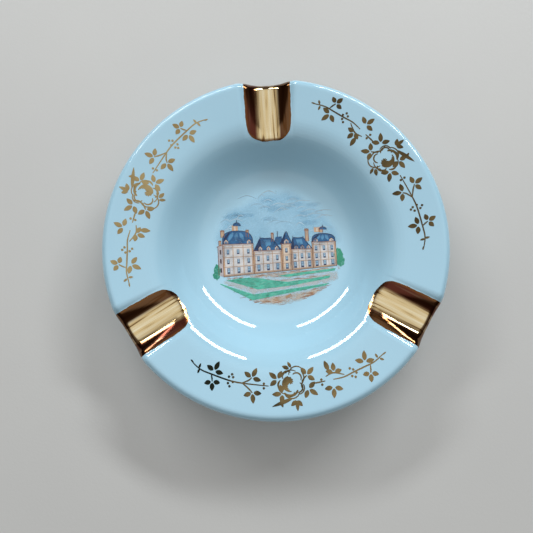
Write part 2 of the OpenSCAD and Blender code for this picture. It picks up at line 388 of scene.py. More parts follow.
def add_mix(nodes, links, factor, a, b):
    """A mix of two colours, each a socket or a plain colour."""
    a, b = ((*colour, 1) if isinstance(colour, tuple) else colour for colour in (a, b))
    mix = add_node(nodes, links, "ShaderNodeMix", {"Factor": factor, 6: a, 7: b}, data_type="RGBA")
    return mix.outputs[2]


def shader_group(name, inputs, outputs):
    """An empty shader node group with float inputs, {name: default}, and named outputs."""
    tree = bpy.data.node_groups.new(name, "ShaderNodeTree")
    for label, value in inputs.items():
        kind = "NodeSocketVector" if value is None else "NodeSocketFloat"
        socket = tree.interface.new_socket(label, in_out="INPUT", socket_type=kind)
        if value is not None:
            socket.default_value = value
    for label in outputs:
        tree.interface.new_socket(label, in_out="OUTPUT", socket_type="NodeSocketFloat")
    return tree, tree.nodes, tree.links, tree.nodes.new("NodeGroupInput"), tree.nodes.new("NodeGroupOutput")


def fired_grain_group():
    """Grain and dark iron specks of fired clay, from object coordinates."""
    tree, nodes, links, given, result = shader_group(
        "fired_grain", {"Vector": None, "Grain scale": 900.0, "Speck scale": 150.0, "Speck size": 0.03},
        ["Grain", "Specks"])
    place = given.outputs["Vector"]
    links.new(add_noise(nodes, links, place, given.outputs["Grain scale"], 4.0), result.inputs["Grain"])
    cells = add_node(nodes, links, "ShaderNodeTexVoronoi",
                     {"Vector": place, "Scale": given.outputs["Speck scale"]})
    near = add_math(nodes, links, "LESS_THAN", cells.outputs["Distance"], given.outputs["Speck size"])
    split = add_node(nodes, links, "ShaderNodeSeparateColor", {"Color": cells.outputs["Color"]})
    rare = add_math(nodes, links, "GREATER_THAN", split.outputs["Red"], 0.82)
    links.new(add_math(nodes, links, "MULTIPLY", near, rare), result.inputs["Specks"])
    return tree


fired_grain = fired_grain_group()


def add_group(nodes, links, tree, vector, **values):
    """A node group in a material, fed by socket name, as its outputs."""
    named = {label.replace("_", " ").capitalize(): value for label, value in values.items()}
    return add_node(nodes, links, "ShaderNodeGroup", {"Vector": vector, **named}, node_tree=tree).outputs


def add_bump(nodes, links, height, distance, normal=None):
    values = {"Height": height, "Distance": distance}
    if normal is not None:
        values["Normal"] = normal
    return add_node(nodes, links, "ShaderNodeBump", values).outputs["Normal"]


def bisque_material():
    material, nodes, links, shader = new_material("bare_bisque_foot")
    place = nodes.new("ShaderNodeTexCoord").outputs["Object"]
    grain = add_group(nodes, links, fired_grain, place, grain_scale=1400.0, speck_scale=420.0,
                      speck_size=0.09)
    smudge = add_noise(nodes, links, place, 90.0, 3.0)
    pale = add_mix(nodes, links, smudge, ink(232, 228, 218), ink(196, 190, 178))
    feed(links, shader, {
        "Base Color": add_mix(nodes, links, grain["Specks"], pale, ink(110, 92, 74)),
        "Roughness": add_range(nodes, links, grain["Grain"], 0.3, 0.7, 0.6, 0.85),
        "Normal": add_bump(nodes, links, grain["Grain"], 0.06 * mm)})
    return material


body_columns = plate_columns(math.radians(0.8), math.radians(4))
porcelain_body = plate_mesh(
    "porcelain_body_piece", glaze_t, -glaze_t, foot_round, body_columns,
    lambda r, z: 1.0 if r > 36 else 3.0, bisque_material())
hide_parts("porcelain_body")
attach(porcelain_body, "root")

# ---- Glaze ---------------------------------------------------------------------------------
# The fired coat of clear blue-white glaze over the whole body, poured and wiped off the foot.
# It pools a little in the curve of the well and carries every printed and gilded coat.


def glaze_material():
    material, nodes, links, shader = new_material("blue_white_glaze")
    place = nodes.new("ShaderNodeTexCoord").outputs["Object"]
    cloud = add_noise(nodes, links, place, 38.0)
    body = add_mix(nodes, links, cloud, ink(184, 225, 243), ink(177, 220, 240))
    grain = add_group(nodes, links, fired_grain, place, grain_scale=2200.0, speck_scale=120.0,
                      speck_size=0.018)
    wiped = add_noise(nodes, links, place, 140.0, 4.0, 0.6)
    broad = add_bump(nodes, links, add_noise(nodes, links, place, 70.0, 1.0), 0.05 * mm)
    peel = add_noise(nodes, links, place, 520.0)
    feed(links, shader, {
        "Base Color": add_mix(nodes, links, grain["Specks"], body, ink(120, 118, 110)),
        "Roughness": add_range(nodes, links, wiped, 0.35, 0.75, 0.035, 0.085),
        "Normal": add_bump(nodes, links, peel, 0.004 * mm, normal=broad),
        "IOR": 1.6, "Coat Weight": 0.25, "Coat Roughness": 0.03})
    return material


glaze_columns = plate_columns(math.radians(0.32), math.radians(2.2))
glaze_coat = plate_mesh(
    "glaze_coat_piece", 0, bare_h, 0, glaze_columns,
    lambda r, z: 0.5 if r > 38 and z > 14 else 1.5, glaze_material())
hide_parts("glaze_coat")
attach(glaze_coat, "root")

# ---- Gilding of the rests ------------------------------------------------------------------
# Bright liquid gold brushed by hand into each cigarette rest and over its outer edge, then
# fired on. It is thick along the bottom; the red-brown up each side is painted shade, a painted dark
# reflection.

gold_w = 18.9
gold_tip_r = 43.1
gold_end_l = 10.0
end_power = 2.8
gold_lift = 0.05
gold_under = 0.04
gold_thin_w = 2.2
gold_step = 0.35
steps_over_lip = 5
gold_columns = 110
gold_rows = 110


def coated_solid(name, points, faces, over, under, material, attributes=None):
    """Closes a sheet that lies on the glaze into a thin solid, from under it to over it."""
    points = np.array(points, float)
    normals = np.zeros_like(points)
    edges = set()
    for face in faces:
        a, b, c = points[face[0]], points[face[1]], points[face[-1]]
        normal = np.cross(b - a, c - a)
        for i, corner in enumerate(face):
            normals[corner] += normal
            edges.add((corner, face[(i + 1) % len(face)]))
    normals /= np.clip(np.linalg.norm(normals, axis=1), 1e-9, None)[:, None]
    count = len(points)
    over = np.broadcast_to(over, count)[:, None]
    solid = np.concatenate([points + normals * over, points - normals * under])
    shell = [list(face) for face in faces]
    shell += [[corner + count for corner in reversed(face)] for face in faces]
    shell += [[b, a, a + count, b + count] for a, b in sorted(edges) if (b, a) not in edges]
    piece = new_piece(name, solid, shell, material)
    piece.data.set_sharp_from_angle(angle=math.radians(35))
    for label, values in (attributes or {}).items():
        values = np.array(values, float)
        kind = "FLOAT_COLOR" if values.ndim == 2 else "FLOAT"
        store = piece.data.attributes.new(label, kind, "POINT")
        doubled = np.concatenate([values, values]).ravel()
        store.data.foreach_set("color" if values.ndim == 2 else "value", doubled)
    return piece


def gilding_sheet(turn, seed):
    """The painted patch of one rest: across it in columns, along it from the tip over the lip."""
    rng = random.Random(seed)
    waver = [rng.uniform(0, 6.28) for _ in range(3)]
    outline = finely_stepped(plate_section(bare_h, 0), lambda r, z: gold_step)
    lip = int(np.argmax(outline[:, 0]))
    top = np.interp(outline[:, 0], upper_line[:, 0], upper_line[:, 1])
    bottom = np.interp(outline[:, 0], under_line[:, 0], under_line[:, 1])
    share = np.clip((outline[:, 1] - bottom) / np.clip(top - bottom, 1, None), 0, 1)
    first = int(np.argmax(outline[:, 0] > gold_tip_r - 1))
    last = lip + steps_over_lip
    path_r = outline[first:last, 0]
    path_share = share[first:last]
    run = np.arange(last - first)
    points, thin, across_all = [], [], []
    for j in range(gold_columns + 1):
        across = 2 * j / gold_columns - 1
        start_r = gold_tip_r + gold_end_l * (1 - (1 - abs(across) ** end_power) ** (1 / end_power))
        start_r += 0.12 * math.sin(9 * across + waver[0])
        start = np.interp(start_r, path_r[:lip - first], run[:lip - first])
        for i in range(gold_rows + 1):
            at = start + (run[-1] - start) * i / gold_rows
            r = np.interp(at, run, path_r)
            half = gold_w / 2 * (0.97 + 0.03 * smooth_step(50, 67, r))
            half += 0.06 * math.sin(0.9 * r + waver[1]) + 0.04 * math.sin(2.3 * r + waver[2])
            side = across * half
            points.append(skin_point(r, turn + math.asin(side / r), np.interp(at, run, path_share)))
            edge = min((1 - abs(across)) * gold_w / 2, r - start_r)
            thin.append(1 - float(smooth_step(0, gold_thin_w, edge)))
            across_all.append(across)
    faces = []
    for j in range(gold_columns):
        for i in range(gold_rows):
            a = j * (gold_rows + 1) + i
            b = a + gold_rows + 1
            faces.append([a, a + 1, b + 1, b])
    return points, faces, thin, across_all


def brush_streak_group():
    """Traces of a brush drawn along X: fine streaks, short ripples, broad bands and tone."""
    tree, nodes, links, given, result = shader_group(
        "brush_streaks", {"Vector": None, "Streak scale": 900.0, "Ripple scale": 500.0},
        ["Streaks", "Ripples", "Bands", "Tone"])
    for label, scale, stretch, detail in (
            ("Streaks", given.outputs["Streak scale"], (0.035, 1, 0.35), 3.0),
            ("Ripples", given.outputs["Ripple scale"], (1, 0.25, 0.25), 1.0),
            ("Bands", 240.0, (0.02, 1, 0.3), 1.0), ("Tone", 110.0, (0.4, 1, 1), 2.0)):
        drawn_out = add_node(nodes, links, "ShaderNodeMapping",
                             {"Vector": given.outputs["Vector"], "Scale": stretch}).outputs["Vector"]
        links.new(add_noise(nodes, links, drawn_out, scale, detail), result.inputs[label])
    return tree


brush_streaks = brush_streak_group()


def add_attribute(nodes, links, name):
    """What a mesh keeps at each point under one name, as the node's outputs."""
    return add_node(nodes, links, "ShaderNodeAttribute", {}, attribute_name=name).outputs


def bright_gold_material(name, turn):
    """Bright gold: pale streaks along the bottom, red-brown at thin edges, and painted shade in red-brown
    up the steep sides.
    """
    material, nodes, links, shader = new_material(name)
    places = nodes.new("ShaderNodeTexCoord").outputs
    turned = add_node(nodes, links, "ShaderNodeMapping",
                      {"Vector": places["Object"], "Rotation": (0, 0, -turn)})
    brush = add_group(nodes, links, brush_streaks, turned.outputs["Vector"], streak_scale=620.0,
                      ripple_scale=260.0)
    # Painted shade: steep slopes and both sides of each trough are darkened to red-brown, a painted dark
    # reflection of the surroundings in the walls; the brush bands added to it are real unevenness.
    slope = add_node(nodes, links, "ShaderNodeSeparateXYZ", {"Vector": places["Normal"]})
    steep = add_range(nodes, links, slope.outputs["Z"], 0.95, 0.8, 0.0, 1.0)
    off = add_math(nodes, links, "ABSOLUTE", add_attribute(nodes, links, "across")["Fac"], 0.0)
    wall = add_math(nodes, links, "MAXIMUM", steep, add_range(nodes, links, off, 0.38, 0.6, 0.0, 1.0))
    banded = add_range(nodes, links, brush["Bands"], 0.42, 0.6, -0.3, 0.6)
    painted_shade_plus_bands = add_math(nodes, links, "ADD", wall, banded)
    shade = add_range(nodes, links, painted_shade_plus_bands, 0.0, 1.0, 0.0, 1.0)
    bright = add_mix(nodes, links, add_range(nodes, links, brush["Streaks"], 0.35, 0.6, 1.0, 0.0),
                     ink(228, 194, 132), ink(252, 236, 198))
    # Painted shade ink: the red-brown of the shaded walls, varied at random by the brush tone.
    painted_shade_ink = add_mix(nodes, links, add_range(nodes, links, brush["Tone"], 0.42, 0.58, 0.0, 1.0),
                   ink(112, 80, 54), ink(98, 52, 40))
    metal = add_mix(nodes, links, shade, bright, painted_shade_ink)
    lines = add_range(nodes, links, brush["Streaks"], 0.55, 0.62, 0.0, 0.9)
    lined = add_mix(nodes, links, lines, metal, ink(98, 60, 30))
    worn = add_range(nodes, links, add_attribute(nodes, links, "thin")["Fac"], 0.5, 1.0, 0.0, 0.75)
    streaked = add_bump(nodes, links, brush["Streaks"], 0.07 * mm)
    feed(links, shader, {
        "Base Color": add_mix(nodes, links, worn, lined, ink(128, 84, 42)), "Metallic": 1.0,
        "Roughness": add_range(nodes, links, brush["Tone"], 0.3, 0.75, 0.07, 0.2),
        "Normal": add_bump(nodes, links, brush["Ripples"], 0.006 * mm, normal=streaked)})
    return material


for place_name, turn in zip(("back", "left", "right"), rest_turns):
    points, faces, thin, across = gilding_sheet(turn, 7 + len(place_name))
    gilding = coated_solid(
        f"rest_gilding_{place_name}_piece", points, faces, gold_lift, gold_under,
        bright_gold_material(f"bright_gold_{place_name}", turn), {"thin": thin, "across": across})
    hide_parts(f"rest_gilding_{place_name}")
    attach(gilding, "root")

# ---- Gold sprays ---------------------------------------------------------------------------
# Three alike rose sprays, each one transfer print of satin gold slid onto the rim by hand and
# fired on. A rose in the middle, two leafy stems with buds and berries to the sides.


def new_tree(name, inputs):
    """An empty geometry node group, with its geometry first among the named inputs."""
    tree = bpy.data.node_groups.new(name, "GeometryNodeTree")
    tree.interface.new_socket("Geometry", in_out="INPUT", socket_type="NodeSocketGeometry")
    for label, (kind, value) in inputs.items():
        socket = tree.interface.new_socket(label, in_out="INPUT", socket_type=f"NodeSocket{kind}")
        if value is not None:
            socket.default_value = value
    tree.interface.new_socket("Geometry", in_out="OUTPUT", socket_type="NodeSocketGeometry")
    return tree, tree.nodes, tree.links, tree.nodes.new("NodeGroupInput"), tree.nodes.new("NodeGroupOutput")


def tree_attribute(nodes, links, name):
    return add_node(nodes, links, "GeometryNodeInputNamedAttribute", {"Name": name},
                    data_type="FLOAT").outputs["Attribute"]


def add_copies(nodes, links, points, shape, length, breadth, heading=None):
    """Copies of a flat shape on points, each to its own length, breadth and heading."""
    size = add_node(nodes, links, "ShaderNodeCombineXYZ", {"X": length, "Y": breadth, "Z": 1.0})
    values = {"Points": points, "Instance": shape, "Scale": size.outputs["Vector"]}
    if heading is not None:
        about = add_node(nodes, links, "ShaderNodeCombineXYZ", {"Z": heading})
        turn = add_node(nodes, links, "FunctionNodeEulerToRotation", {"Euler": about.outputs["Vector"]})
        values["Rotation"] = turn.outputs["Rotation"]
    return add_node(nodes, links, "GeometryNodeInstanceOnPoints", values).outputs["Instances"]


def finish_tree(nodes, links, geometry, given, result):
    """Ends a tree in Realize Instances and Set Material."""
    real = add_node(nodes, links, "GeometryNodeRealizeInstances", {"Geometry": geometry})
    paint = add_node(nodes, links, "GeometryNodeSetMaterial",
                     {"Geometry": real.outputs["Geometry"], "Material": given.outputs["Material"]})
    links.new(paint.outputs["Geometry"], result.inputs["Geometry"])


def drawn_line_tree():
    """Flat brush lines along smoothed paths, as broad as the path's own breadth."""
    tree, nodes, links, given, result = new_tree(
        "drawn_line", {"Step": ("Float", 0.5), "Breadth": ("Float", 1.0), "Material": ("Material", None)})
    curve = add_node(nodes, links, "GeometryNodeMeshToCurve", {"Mesh": given.outputs["Geometry"]})
    smooth = add_node(nodes, links, "GeometryNodeCurveSplineType", {"Curve": curve.outputs["Curve"]},
                      spline_type="CATMULL_ROM")
    even = add_node(nodes, links, "GeometryNodeResampleCurve",
                    {"Curve": smooth.outputs["Curve"], "Length": given.outputs["Step"]}, mode="LENGTH")
    upright = add_node(nodes, links, "GeometryNodeSetCurveNormal", {"Curve": even.outputs["Curve"]},
                       mode="Z_UP")
    nib = add_node(nodes, links, "GeometryNodeCurvePrimitiveLine",
                   {"Start": (-0.5, 0, 0), "End": (0.5, 0, 0)})
    breadth = add_math(nodes, links, "MULTIPLY", tree_attribute(nodes, links, "breadth"),
                       given.outputs["Breadth"])
    ribbon = add_node(nodes, links, "GeometryNodeCurveToMesh", {
        "Curve": upright.outputs["Curve"], "Profile Curve": nib.outputs["Curve"], "Scale": breadth})
    finish_tree(nodes, links, ribbon.outputs["Mesh"], given, result)
    return tree


def leaf_tree():
    """One leaf, bud or berry on each point, by the point's heading, length and breadth."""
    tree, nodes, links, given, result = new_tree(
        "leaves_on_stem", {"Ridge": ("Float", 0.06), "Material": ("Material", None)})
    grid = add_node(nodes, links, "GeometryNodeMeshGrid",
                    {"Size X": 0.96, "Size Y": 1.0, "Vertices X": 9, "Vertices Y": 3})
    where = nodes.new("GeometryNodeInputPosition").outputs["Position"]
    parts = add_node(nodes, links, "ShaderNodeSeparateXYZ", {"Vector": where}).outputs
    along = add_math(nodes, links, "ADD", parts["X"], 0.5)
    bent = add_math(nodes, links, "POWER", along, 0.85)
    swell = add_math(nodes, links, "SINE", add_math(nodes, links, "MULTIPLY", bent, math.pi), 0.0)
    full = add_math(nodes, links, "POWER", swell, 0.8)
    across = add_math(nodes, links, "MULTIPLY", parts["Y"], full)
    off = add_math(nodes, links, "ABSOLUTE", parts["Y"], 0.0)
    middle = add_math(nodes, links, "SUBTRACT", 0.5, off)
    raised = add_math(nodes, links, "MULTIPLY", middle, given.outputs["Ridge"])
    shape = add_node(nodes, links, "ShaderNodeCombineXYZ", {"X": along, "Y": across, "Z": raised})
    leaf = add_node(nodes, links, "GeometryNodeSetPosition",
                    {"Geometry": grid.outputs["Mesh"], "Position": shape.outputs["Vector"]})
    length, breadth, heading = (tree_attribute(nodes, links, n) for n in ("length", "breadth", "heading"))
    leaves = add_copies(nodes, links, given.outputs["Geometry"], leaf.outputs["Geometry"], length, breadth,
                        heading)
    finish_tree(nodes, links, leaves, given, result)
    return tree


def run_tree(tree, points, edges, faces, attributes, **inputs):
    """Feeds a flat mesh to a tree and returns the plain mesh it makes: points, faces, inks."""
    mesh = bpy.data.meshes.new("tree_input")
    mesh.from_pydata([(*p[:2], 0) for p in points], edges, faces)
    for label, values in attributes.items():
        mesh.attributes.new(label, "FLOAT", "POINT").data.foreach_set("value", [float(v) for v in values])
    carrier = bpy.data.objects.new("tree_input", mesh)
    bpy.context.scene.collection.objects.link(carrier)
    modifier = carrier.modifiers.new("tree", "NODES")
    modifier.node_group = tree
    sockets = {s.name: s.identifier for s in tree.interface.items_tree if s.in_out == "INPUT"}
    for label, value in inputs.items():
        modifier[sockets[label.replace("_", " ").capitalize()]] = value
    shaped = bpy.data.meshes.new_from_object(carrier.evaluated_get(bpy.context.evaluated_depsgraph_get()))
    out = np.empty(len(shaped.vertices) * 3)
    shaped.vertices.foreach_get("co", out)
    made_faces = [list(p.vertices) for p in shaped.polygons]
    inks = None
    if "ink" in shaped.attributes:
        inks = np.empty(len(shaped.attributes["ink"].data) * 4)
        shaped.attributes["ink"].data.foreach_get("color", inks)
        inks = inks.reshape(-1, 4)
    bpy.data.objects.remove(carrier)
    bpy.data.meshes.remove(mesh)
    bpy.data.meshes.remove(shaped)
    return out.reshape(-1, 3), made_faces, inks


drawn_line = drawn_line_tree()
leaves_on_stem = leaf_tree()

# Stem, leaf and berry breadths, the drawing's scale, and how the gold lies over the glaze
stem_b = 0.6
leaf_b = 1.85
berry_d = 1.05
spray_scale = 0.965
leaf_lift = 0.006
spray_lift = 0.05
spray_under = 0.03

# The transfer's drawing: x runs along the rim and y outwards, from the rose's heart.
# Stems are paths of points, leaf clusters are (x, y, heading of the middle leaf, leaf length)
spray_stems = [
    [(-38.4, -9.2), (-35.1, -6.2), (-30.8, -4.3), (-23.2, -1.6), (-17.3, -0.5), (-8.6, 0.5)],
    [(-18.9, -0.8), (-16.4, -1.7), (-15.1, -2.8)],
    [(-18.9, -0.8), (-16.4, 1.3), (-14.9, 3.0)],
    [(-30.8, -4.3), (-30.5, -2.8), (-30.4, -1.5)],
    [(7.8, -0.3), (10.4, -0.7), (13.4, -1.3)],
    [(16.5, -1.9), (20.6, -2.8), (24.3, -4.6), (28.6, -6.6), (32.5, -8.5), (36.2, -11.6)],
    [(13.6, -3.0), (16.6, -4.4), (20.8, -3.7)],
    [(30.9, -7.3), (31.0, -5.6), (30.9, -4.3)],
    [(4.3, -4.9), (5.2, -2.6), (4.2, 0.2), (4.9, 2.2)],
    [(4.2, -1.2), (5.4, -2.6), (6.3, -3.5)],
]
leaf_clusters = [
    (-29.7, -5.4, -62, 3.7), (-30.4, -1.5, 90, 3.1), (-15.1, -2.6, -62, 3.8), (-14.9, 2.9, 84, 3.6),
    (-5.1, -1.9, -140, 3.8), (-3.2, 3.4, 176, 3.6), (6.2, -3.5, -48, 3.7), (6.8, 1.6, 32, 3.8),
    (16.8, -4.6, -95, 3.2), (16.6, 1.0, 90, 3.7), (28.9, -8.5, -92, 3.9), (30.9, -4.3, 88, 3.1),
]
single_leaves = [
    (14.7, -5.3, -112, 4.0, 1.9), (0.8, 5.1, 159, 8.8, 1.5), (-4.1, 6.1, 66, 2.6, 1.2),
    (2.3, 6.0, 140, 3.0, 1.7), (2.3, 6.0, 86, 3.9, 1.4), (2.3, 6.0, 42, 2.9, 1.7),
    (33.9, -10.0, -120, 1.9, 0.9), (34.6, -9.8, 20, 1.8, 0.9), (35.8, -11.2, -38, 1.8, 0.6),
    (-35.6, -6.6, -70, 2.0, 0.9), (-35.4, -6.4, 110, 1.9, 0.9), (-38.9, -9.9, 40, 1.6, 0.6),
    (-0.6, -6.0, -160, 2.9, 1.5), (0.2, -6.4, -120, 2.6, 1.2), (-1.2, -5.2, 150, 1.8, 1.1),
]
berry_spots = [
    (-23.9, -3.2), (-22.7, -4.1), (-22.3, -3.0), (-24.3, -0.8), (-22.4, -1.2), (-23.7, 0.4),
    (-10.4, -0.4), (-10.4, 1.3), (11.9, -1.8), (12.2, 0.1),
    (23.0, -6.0), (24.3, -5.6), (23.8, -3.1), (25.1, -2.8), (25.5, -4.4),
]


def arc_path(x, y, radius, first, last, steps=9, squash=1.0):
    """Points of an arc, its angles in degrees."""
    angles = np.radians(np.linspace(first, last, steps))
    return [(x + radius * math.cos(a), y + squash * radius * math.sin(a)) for a in angles]


def rose_lines():
    """The rose: crescents wound round its heart, then petals drawn only by their rims."""
    lines = []
    for ring in range(6):
        radius = 0.5 + 0.48 * ring
        first = 150 - 14 * ring
        lines.append((arc_path(-0.5 + 0.06 * ring, -0.3, radius, first, first + 235 - 12 * ring), 0.62))
    for x, y, radius, first, last in ((2.3, -3.9, 3.0, 175, 330), (-1.9, 0.6, 2.9, 95, 215),
                                      (0.4, 2.0, 3.2, 20, 160), (2.9, 1.2, 2.4, -35, 95),
                                      (0.2, -1.9, 3.6, 190, 300)):
        lines.append((arc_path(x, y, radius, first, last), 0.5))
    lines.append((arc_path(-0.2, 1.3, 3.0, 15, 140, squash=0.95), 1.0))
    for turn in (100, 172, 244, 316, 28):
        way = math.radians(turn)
        petal = arc_path(3.1 * math.cos(way), 3.1 * math.sin(way) - 0.4, 1.9, turn - 95, turn + 70)
        lines.append((petal, 0.62))
    return lines


def joined(paths):
    """Paths as the points and edges of one flat mesh."""
    points, edges = [], []
    for path in paths:
        edges += [(len(points) + i, len(points) + i + 1) for i in range(len(path) - 1)]
        points += [tuple(p[:2]) for p in path]
    return points, edges


def spray_drawing(material):
    """The whole transfer, flat: its lines, then its leaves and berries a hair above them."""
    lines = [(path, stem_b) for path in spray_stems] + rose_lines()
    points, edges = joined([path for path, breadth in lines])
    breadths = []
    for path, breadth in lines:
        breadths += list(breadth * np.sin(np.linspace(0.35, math.pi - 0.35, len(path))) ** 0.5)
    flat, faces, _ = run_tree(drawn_line, points, edges, [], {"breadth": breadths},
                              step=0.45, breadth=1.0, material=material)
    leaves = []
    for x, y, heading, length in leaf_clusters:
        for spread, share in ((-78, 0.85), (0, 1.0), (78, 0.85)):
            way = math.radians(heading + spread)
            leaves.append((x + 0.5 * math.cos(way), y + 0.5 * math.sin(way), heading + spread,
                           length * share, leaf_b))
    leaves += single_leaves
    leaves += [(x - berry_d / 2, y, 0, berry_d, berry_d) for x, y in berry_spots]
    x, y, heading, length, breadth = (np.array(c) for c in zip(*leaves))
    shapes, leaf_faces, _ = run_tree(
        leaves_on_stem, np.stack([x, y], axis=1), [], [],
        {"heading": np.radians(heading), "length": length, "breadth": breadth},
        ridge=0.002, material=material)
    shapes[:, 2] += leaf_lift
    start = len(flat)
    return np.concatenate([flat, shapes]), faces + [[c + start for c in face] for face in leaf_faces]


def spray_gold_material(name, light, dark, lean, roughness):
    """Satin transfer gold in two inks of painted reflection, mottled at random, the dark one gathering
    towards one end of the spray as painted reflection.
    """
    material, nodes, links, shader = new_material(name)
    place = nodes.new("ShaderNodeTexCoord").outputs["Object"]
    grain = add_group(nodes, links, fired_grain, place, grain_scale=1500.0, speck_scale=900.0,
                      speck_size=0.12)
    cloud = add_noise(nodes, links, place, 120.0, 3.0)
    across = add_node(nodes, links, "ShaderNodeSeparateXYZ", {"Vector": place}).outputs["X"]
    # Random mottling, plus the lean: painted reflection that darkens the gold towards one end along X.
    tone_and_painted_reflection = add_math(nodes, links, "ADD", cloud, add_math(nodes, links, "MULTIPLY", across, lean))
    metal = add_mix(nodes, links, add_range(nodes, links, tone_and_painted_reflection, 0.32, 0.68, 0.0, 1.0), light, dark)
    smooth, rough = roughness - 0.08, roughness + 0.08
    feed(links, shader, {
        "Base Color": add_mix(nodes, links, grain["Specks"], metal, ink(52, 40, 24)), "Metallic": 0.9,
        "Roughness": add_range(nodes, links, grain["Grain"], 0.3, 0.7, smooth, rough),
        "Normal": add_bump(nodes, links, grain["Grain"], 0.008 * mm)})
    return material


# One alike transfer on all three; their inks differ only as painted reflection: pale on the left, dark
# gathering at its left end on the front, middle brown on the right.
painted_reflection_golds = {
    "left": spray_gold_material("satin_gold_left_painted_reflection", ink(186, 164, 118), ink(160, 136, 92), 0.0, 0.42),
    "front": spray_gold_material("satin_gold_front_painted_reflection", ink(150, 126, 84), ink(34, 38, 28), -9.0, 0.3),
    "right": spray_gold_material("satin_gold_right_painted_reflection", ink(122, 102, 66), ink(80, 66, 42), 0.0, 0.34),
}
spray_points, spray_faces = spray_drawing(painted_reflection_golds["left"])
# Each spray as it was laid by hand: its direction from the plate's axis in degrees, how far out
# from it its rose lies, and how far its rose is shifted along the rim
spray_places = {"left": (152, 55.2, 3.3), "front": (267.4, 53.9, 5.1), "right": (30.3, 55.3, 3.8)}
for place_name, (facing, rose_out, along) in spray_places.items():
    turn = math.radians(facing)
    out = rose_out + spray_points[:, 1] * spray_scale
    across = along + spray_points[:, 0] * spray_scale
    x = out * math.cos(turn) - across * math.sin(turn)
    y = out * math.sin(turn) + across * math.cos(turn)
    laid = np.stack([x, y, upper_height(x, y)], axis=1)
    spray = coated_solid(
        f"gold_spray_{place_name}_piece", laid, [face[::-1] for face in spray_faces],
        spray_lift + spray_points[:, 2], spray_under, painted_reflection_golds[place_name])
    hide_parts(f"gold_spray_{place_name}")
    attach(spray, "root")

# ---- Printed view: sky ---------------------------------------------------------------------
# The view in the well is one colour transfer, printed wash by wash and fired under a thin
# flux. The sky is its palest wash: blue-grey broken by lighter strokes of cloud.

# How high the top of each printed colour stands over the glaze, in the order of printing
print_lifts = {"sky": 0.03, "paths": 0.04, "walls": 0.055, "greenery": 0.06, "roofs": 0.075,
               "windows": 0.085, "linework": 0.105}
print_under = 0.03


def new_sheet():
    return {"points": [], "faces": [], "inks": [], "rises": []}


def add_shape(sheet, points, faces, colour, rise=0.0):
    start = len(sheet["points"])
    sheet["points"] += [tuple(p[:2]) for p in points]
    sheet["faces"] += [[c + start for c in face] for face in faces]
    inks = [colour] * len(points) if isinstance(colour, tuple) else colour
    sheet["inks"] += [(*c, 1.0) if len(c) == 3 else tuple(c) for c in inks]
    sheet["rises"] += [rise] * len(points)


def anticlockwise(outline):
    """The outline as plain points, turned round where it runs clockwise."""
    outline = [tuple(p) for p in outline]
    area = sum(a[0] * b[1] - b[0] * a[1] for a, b in zip(outline, outline[1:] + outline[:1])) / 2
    return outline[::-1] if area < 0 else outline


def steps_between(a, b, count):
    """Points in equal steps from a towards b, without b itself."""
    return [(a[0] + (b[0] - a[0]) * i / count, a[1] + (b[1] - a[1]) * i / count) for i in range(count)]


def ring_angles(count):
    """Angles of count points evenly round a full turn."""
    return np.linspace(0, 2 * math.pi, count + 1)[:-1]


def add_patch(sheet, outline, colour, rise=0.0, grain=None, fade=0.0):
    """A patch of colour inside an outline. With a grain it is split to follow the well's curve,
    and with a fade its cover runs out towards its rim over that distance."""
    outline = anticlockwise(outline)
    if grain is None:
        add_shape(sheet, outline, [list(range(len(outline)))], colour, rise)
        return
    ring = []
    for a, b in zip(outline, outline[1:] + outline[:1]):
        ring += steps_between(a, b, max(1, math.ceil(math.dist(a, b) / grain)))
    ends = np.array(ring)

    def gap_to_rim(x, y):
        return np.min(np.hypot(ends[:, 0] - x, ends[:, 1] - y))

    low, high = ends.min(0), ends.max(0)
    inner = []
    for i, x in enumerate(np.arange(low[0], high[0], grain)):
        for y in np.arange(low[1] + (i % 2) * grain / 2, high[1], grain):
            if gap_to_rim(x, y) > grain * 0.5:
                inner.append((x, y))
    made = delaunay_2d_cdt([Vector(p) for p in ring + inner], [], [list(range(len(ring)))], 1, 1e-4)
    used = sorted({c for face in made[2] for c in face})
    renumber = {c: i for i, c in enumerate(used)}
    faces = [[renumber[c] for c in face] for face in made[2]]
    points = [tuple(made[0][c]) for c in used]
    if fade:
        cover = colour[3] if len(colour) == 4 else 1.0
        colour = [(*colour[:3], cover * float(smooth_step(0, fade, gap_to_rim(x, y)))) for x, y in points]
    add_shape(sheet, points, faces, colour, rise)


def add_lines(sheet, paths, breadth, colour, rise=0.0, step=0.8, tapered=False):
    """Brush lines of one ink along paths, smoothed where they bend."""
    points, edges = joined(paths)
    breadths = []
    for path in paths:
        share = np.sin(np.linspace(0.3, math.pi - 0.3, len(path))) if tapered else np.ones(len(path))
        breadths += list(breadth * share)
    flat, faces, _ = run_tree(drawn_line, points, edges, [], {"breadth": breadths}, step=step, breadth=1.0)
    add_shape(sheet, flat, faces, colour, rise)


def print_grain_group():
    """Broken cover and uneven tone of a fired colour print."""
    tree, nodes, links, given, result = shader_group(
        "print_grain", {"Vector": None, "Wash scale": 260.0, "Dot scale": 2600.0, "Wear": 0.25},
        ["Tone", "Cover"])
    place = given.outputs["Vector"]
    wash = add_noise(nodes, links, place, given.outputs["Wash scale"], 4.0)
    dots = add_node(nodes, links, "ShaderNodeTexVoronoi",
                    {"Vector": place, "Scale": given.outputs["Dot scale"]})
    gaps = add_math(nodes, links, "MULTIPLY", dots.outputs["Distance"], given.outputs["Wear"])
    worn = add_range(nodes, links, wash, 0.35, 0.7, 0.0, 2.2)
    missing = add_math(nodes, links, "MULTIPLY", gaps, worn)
    feed(links, result, {"Tone": wash, "Cover": add_math(nodes, links, "SUBTRACT", 1.0, missing)})
    return tree


print_grain = print_grain_group()


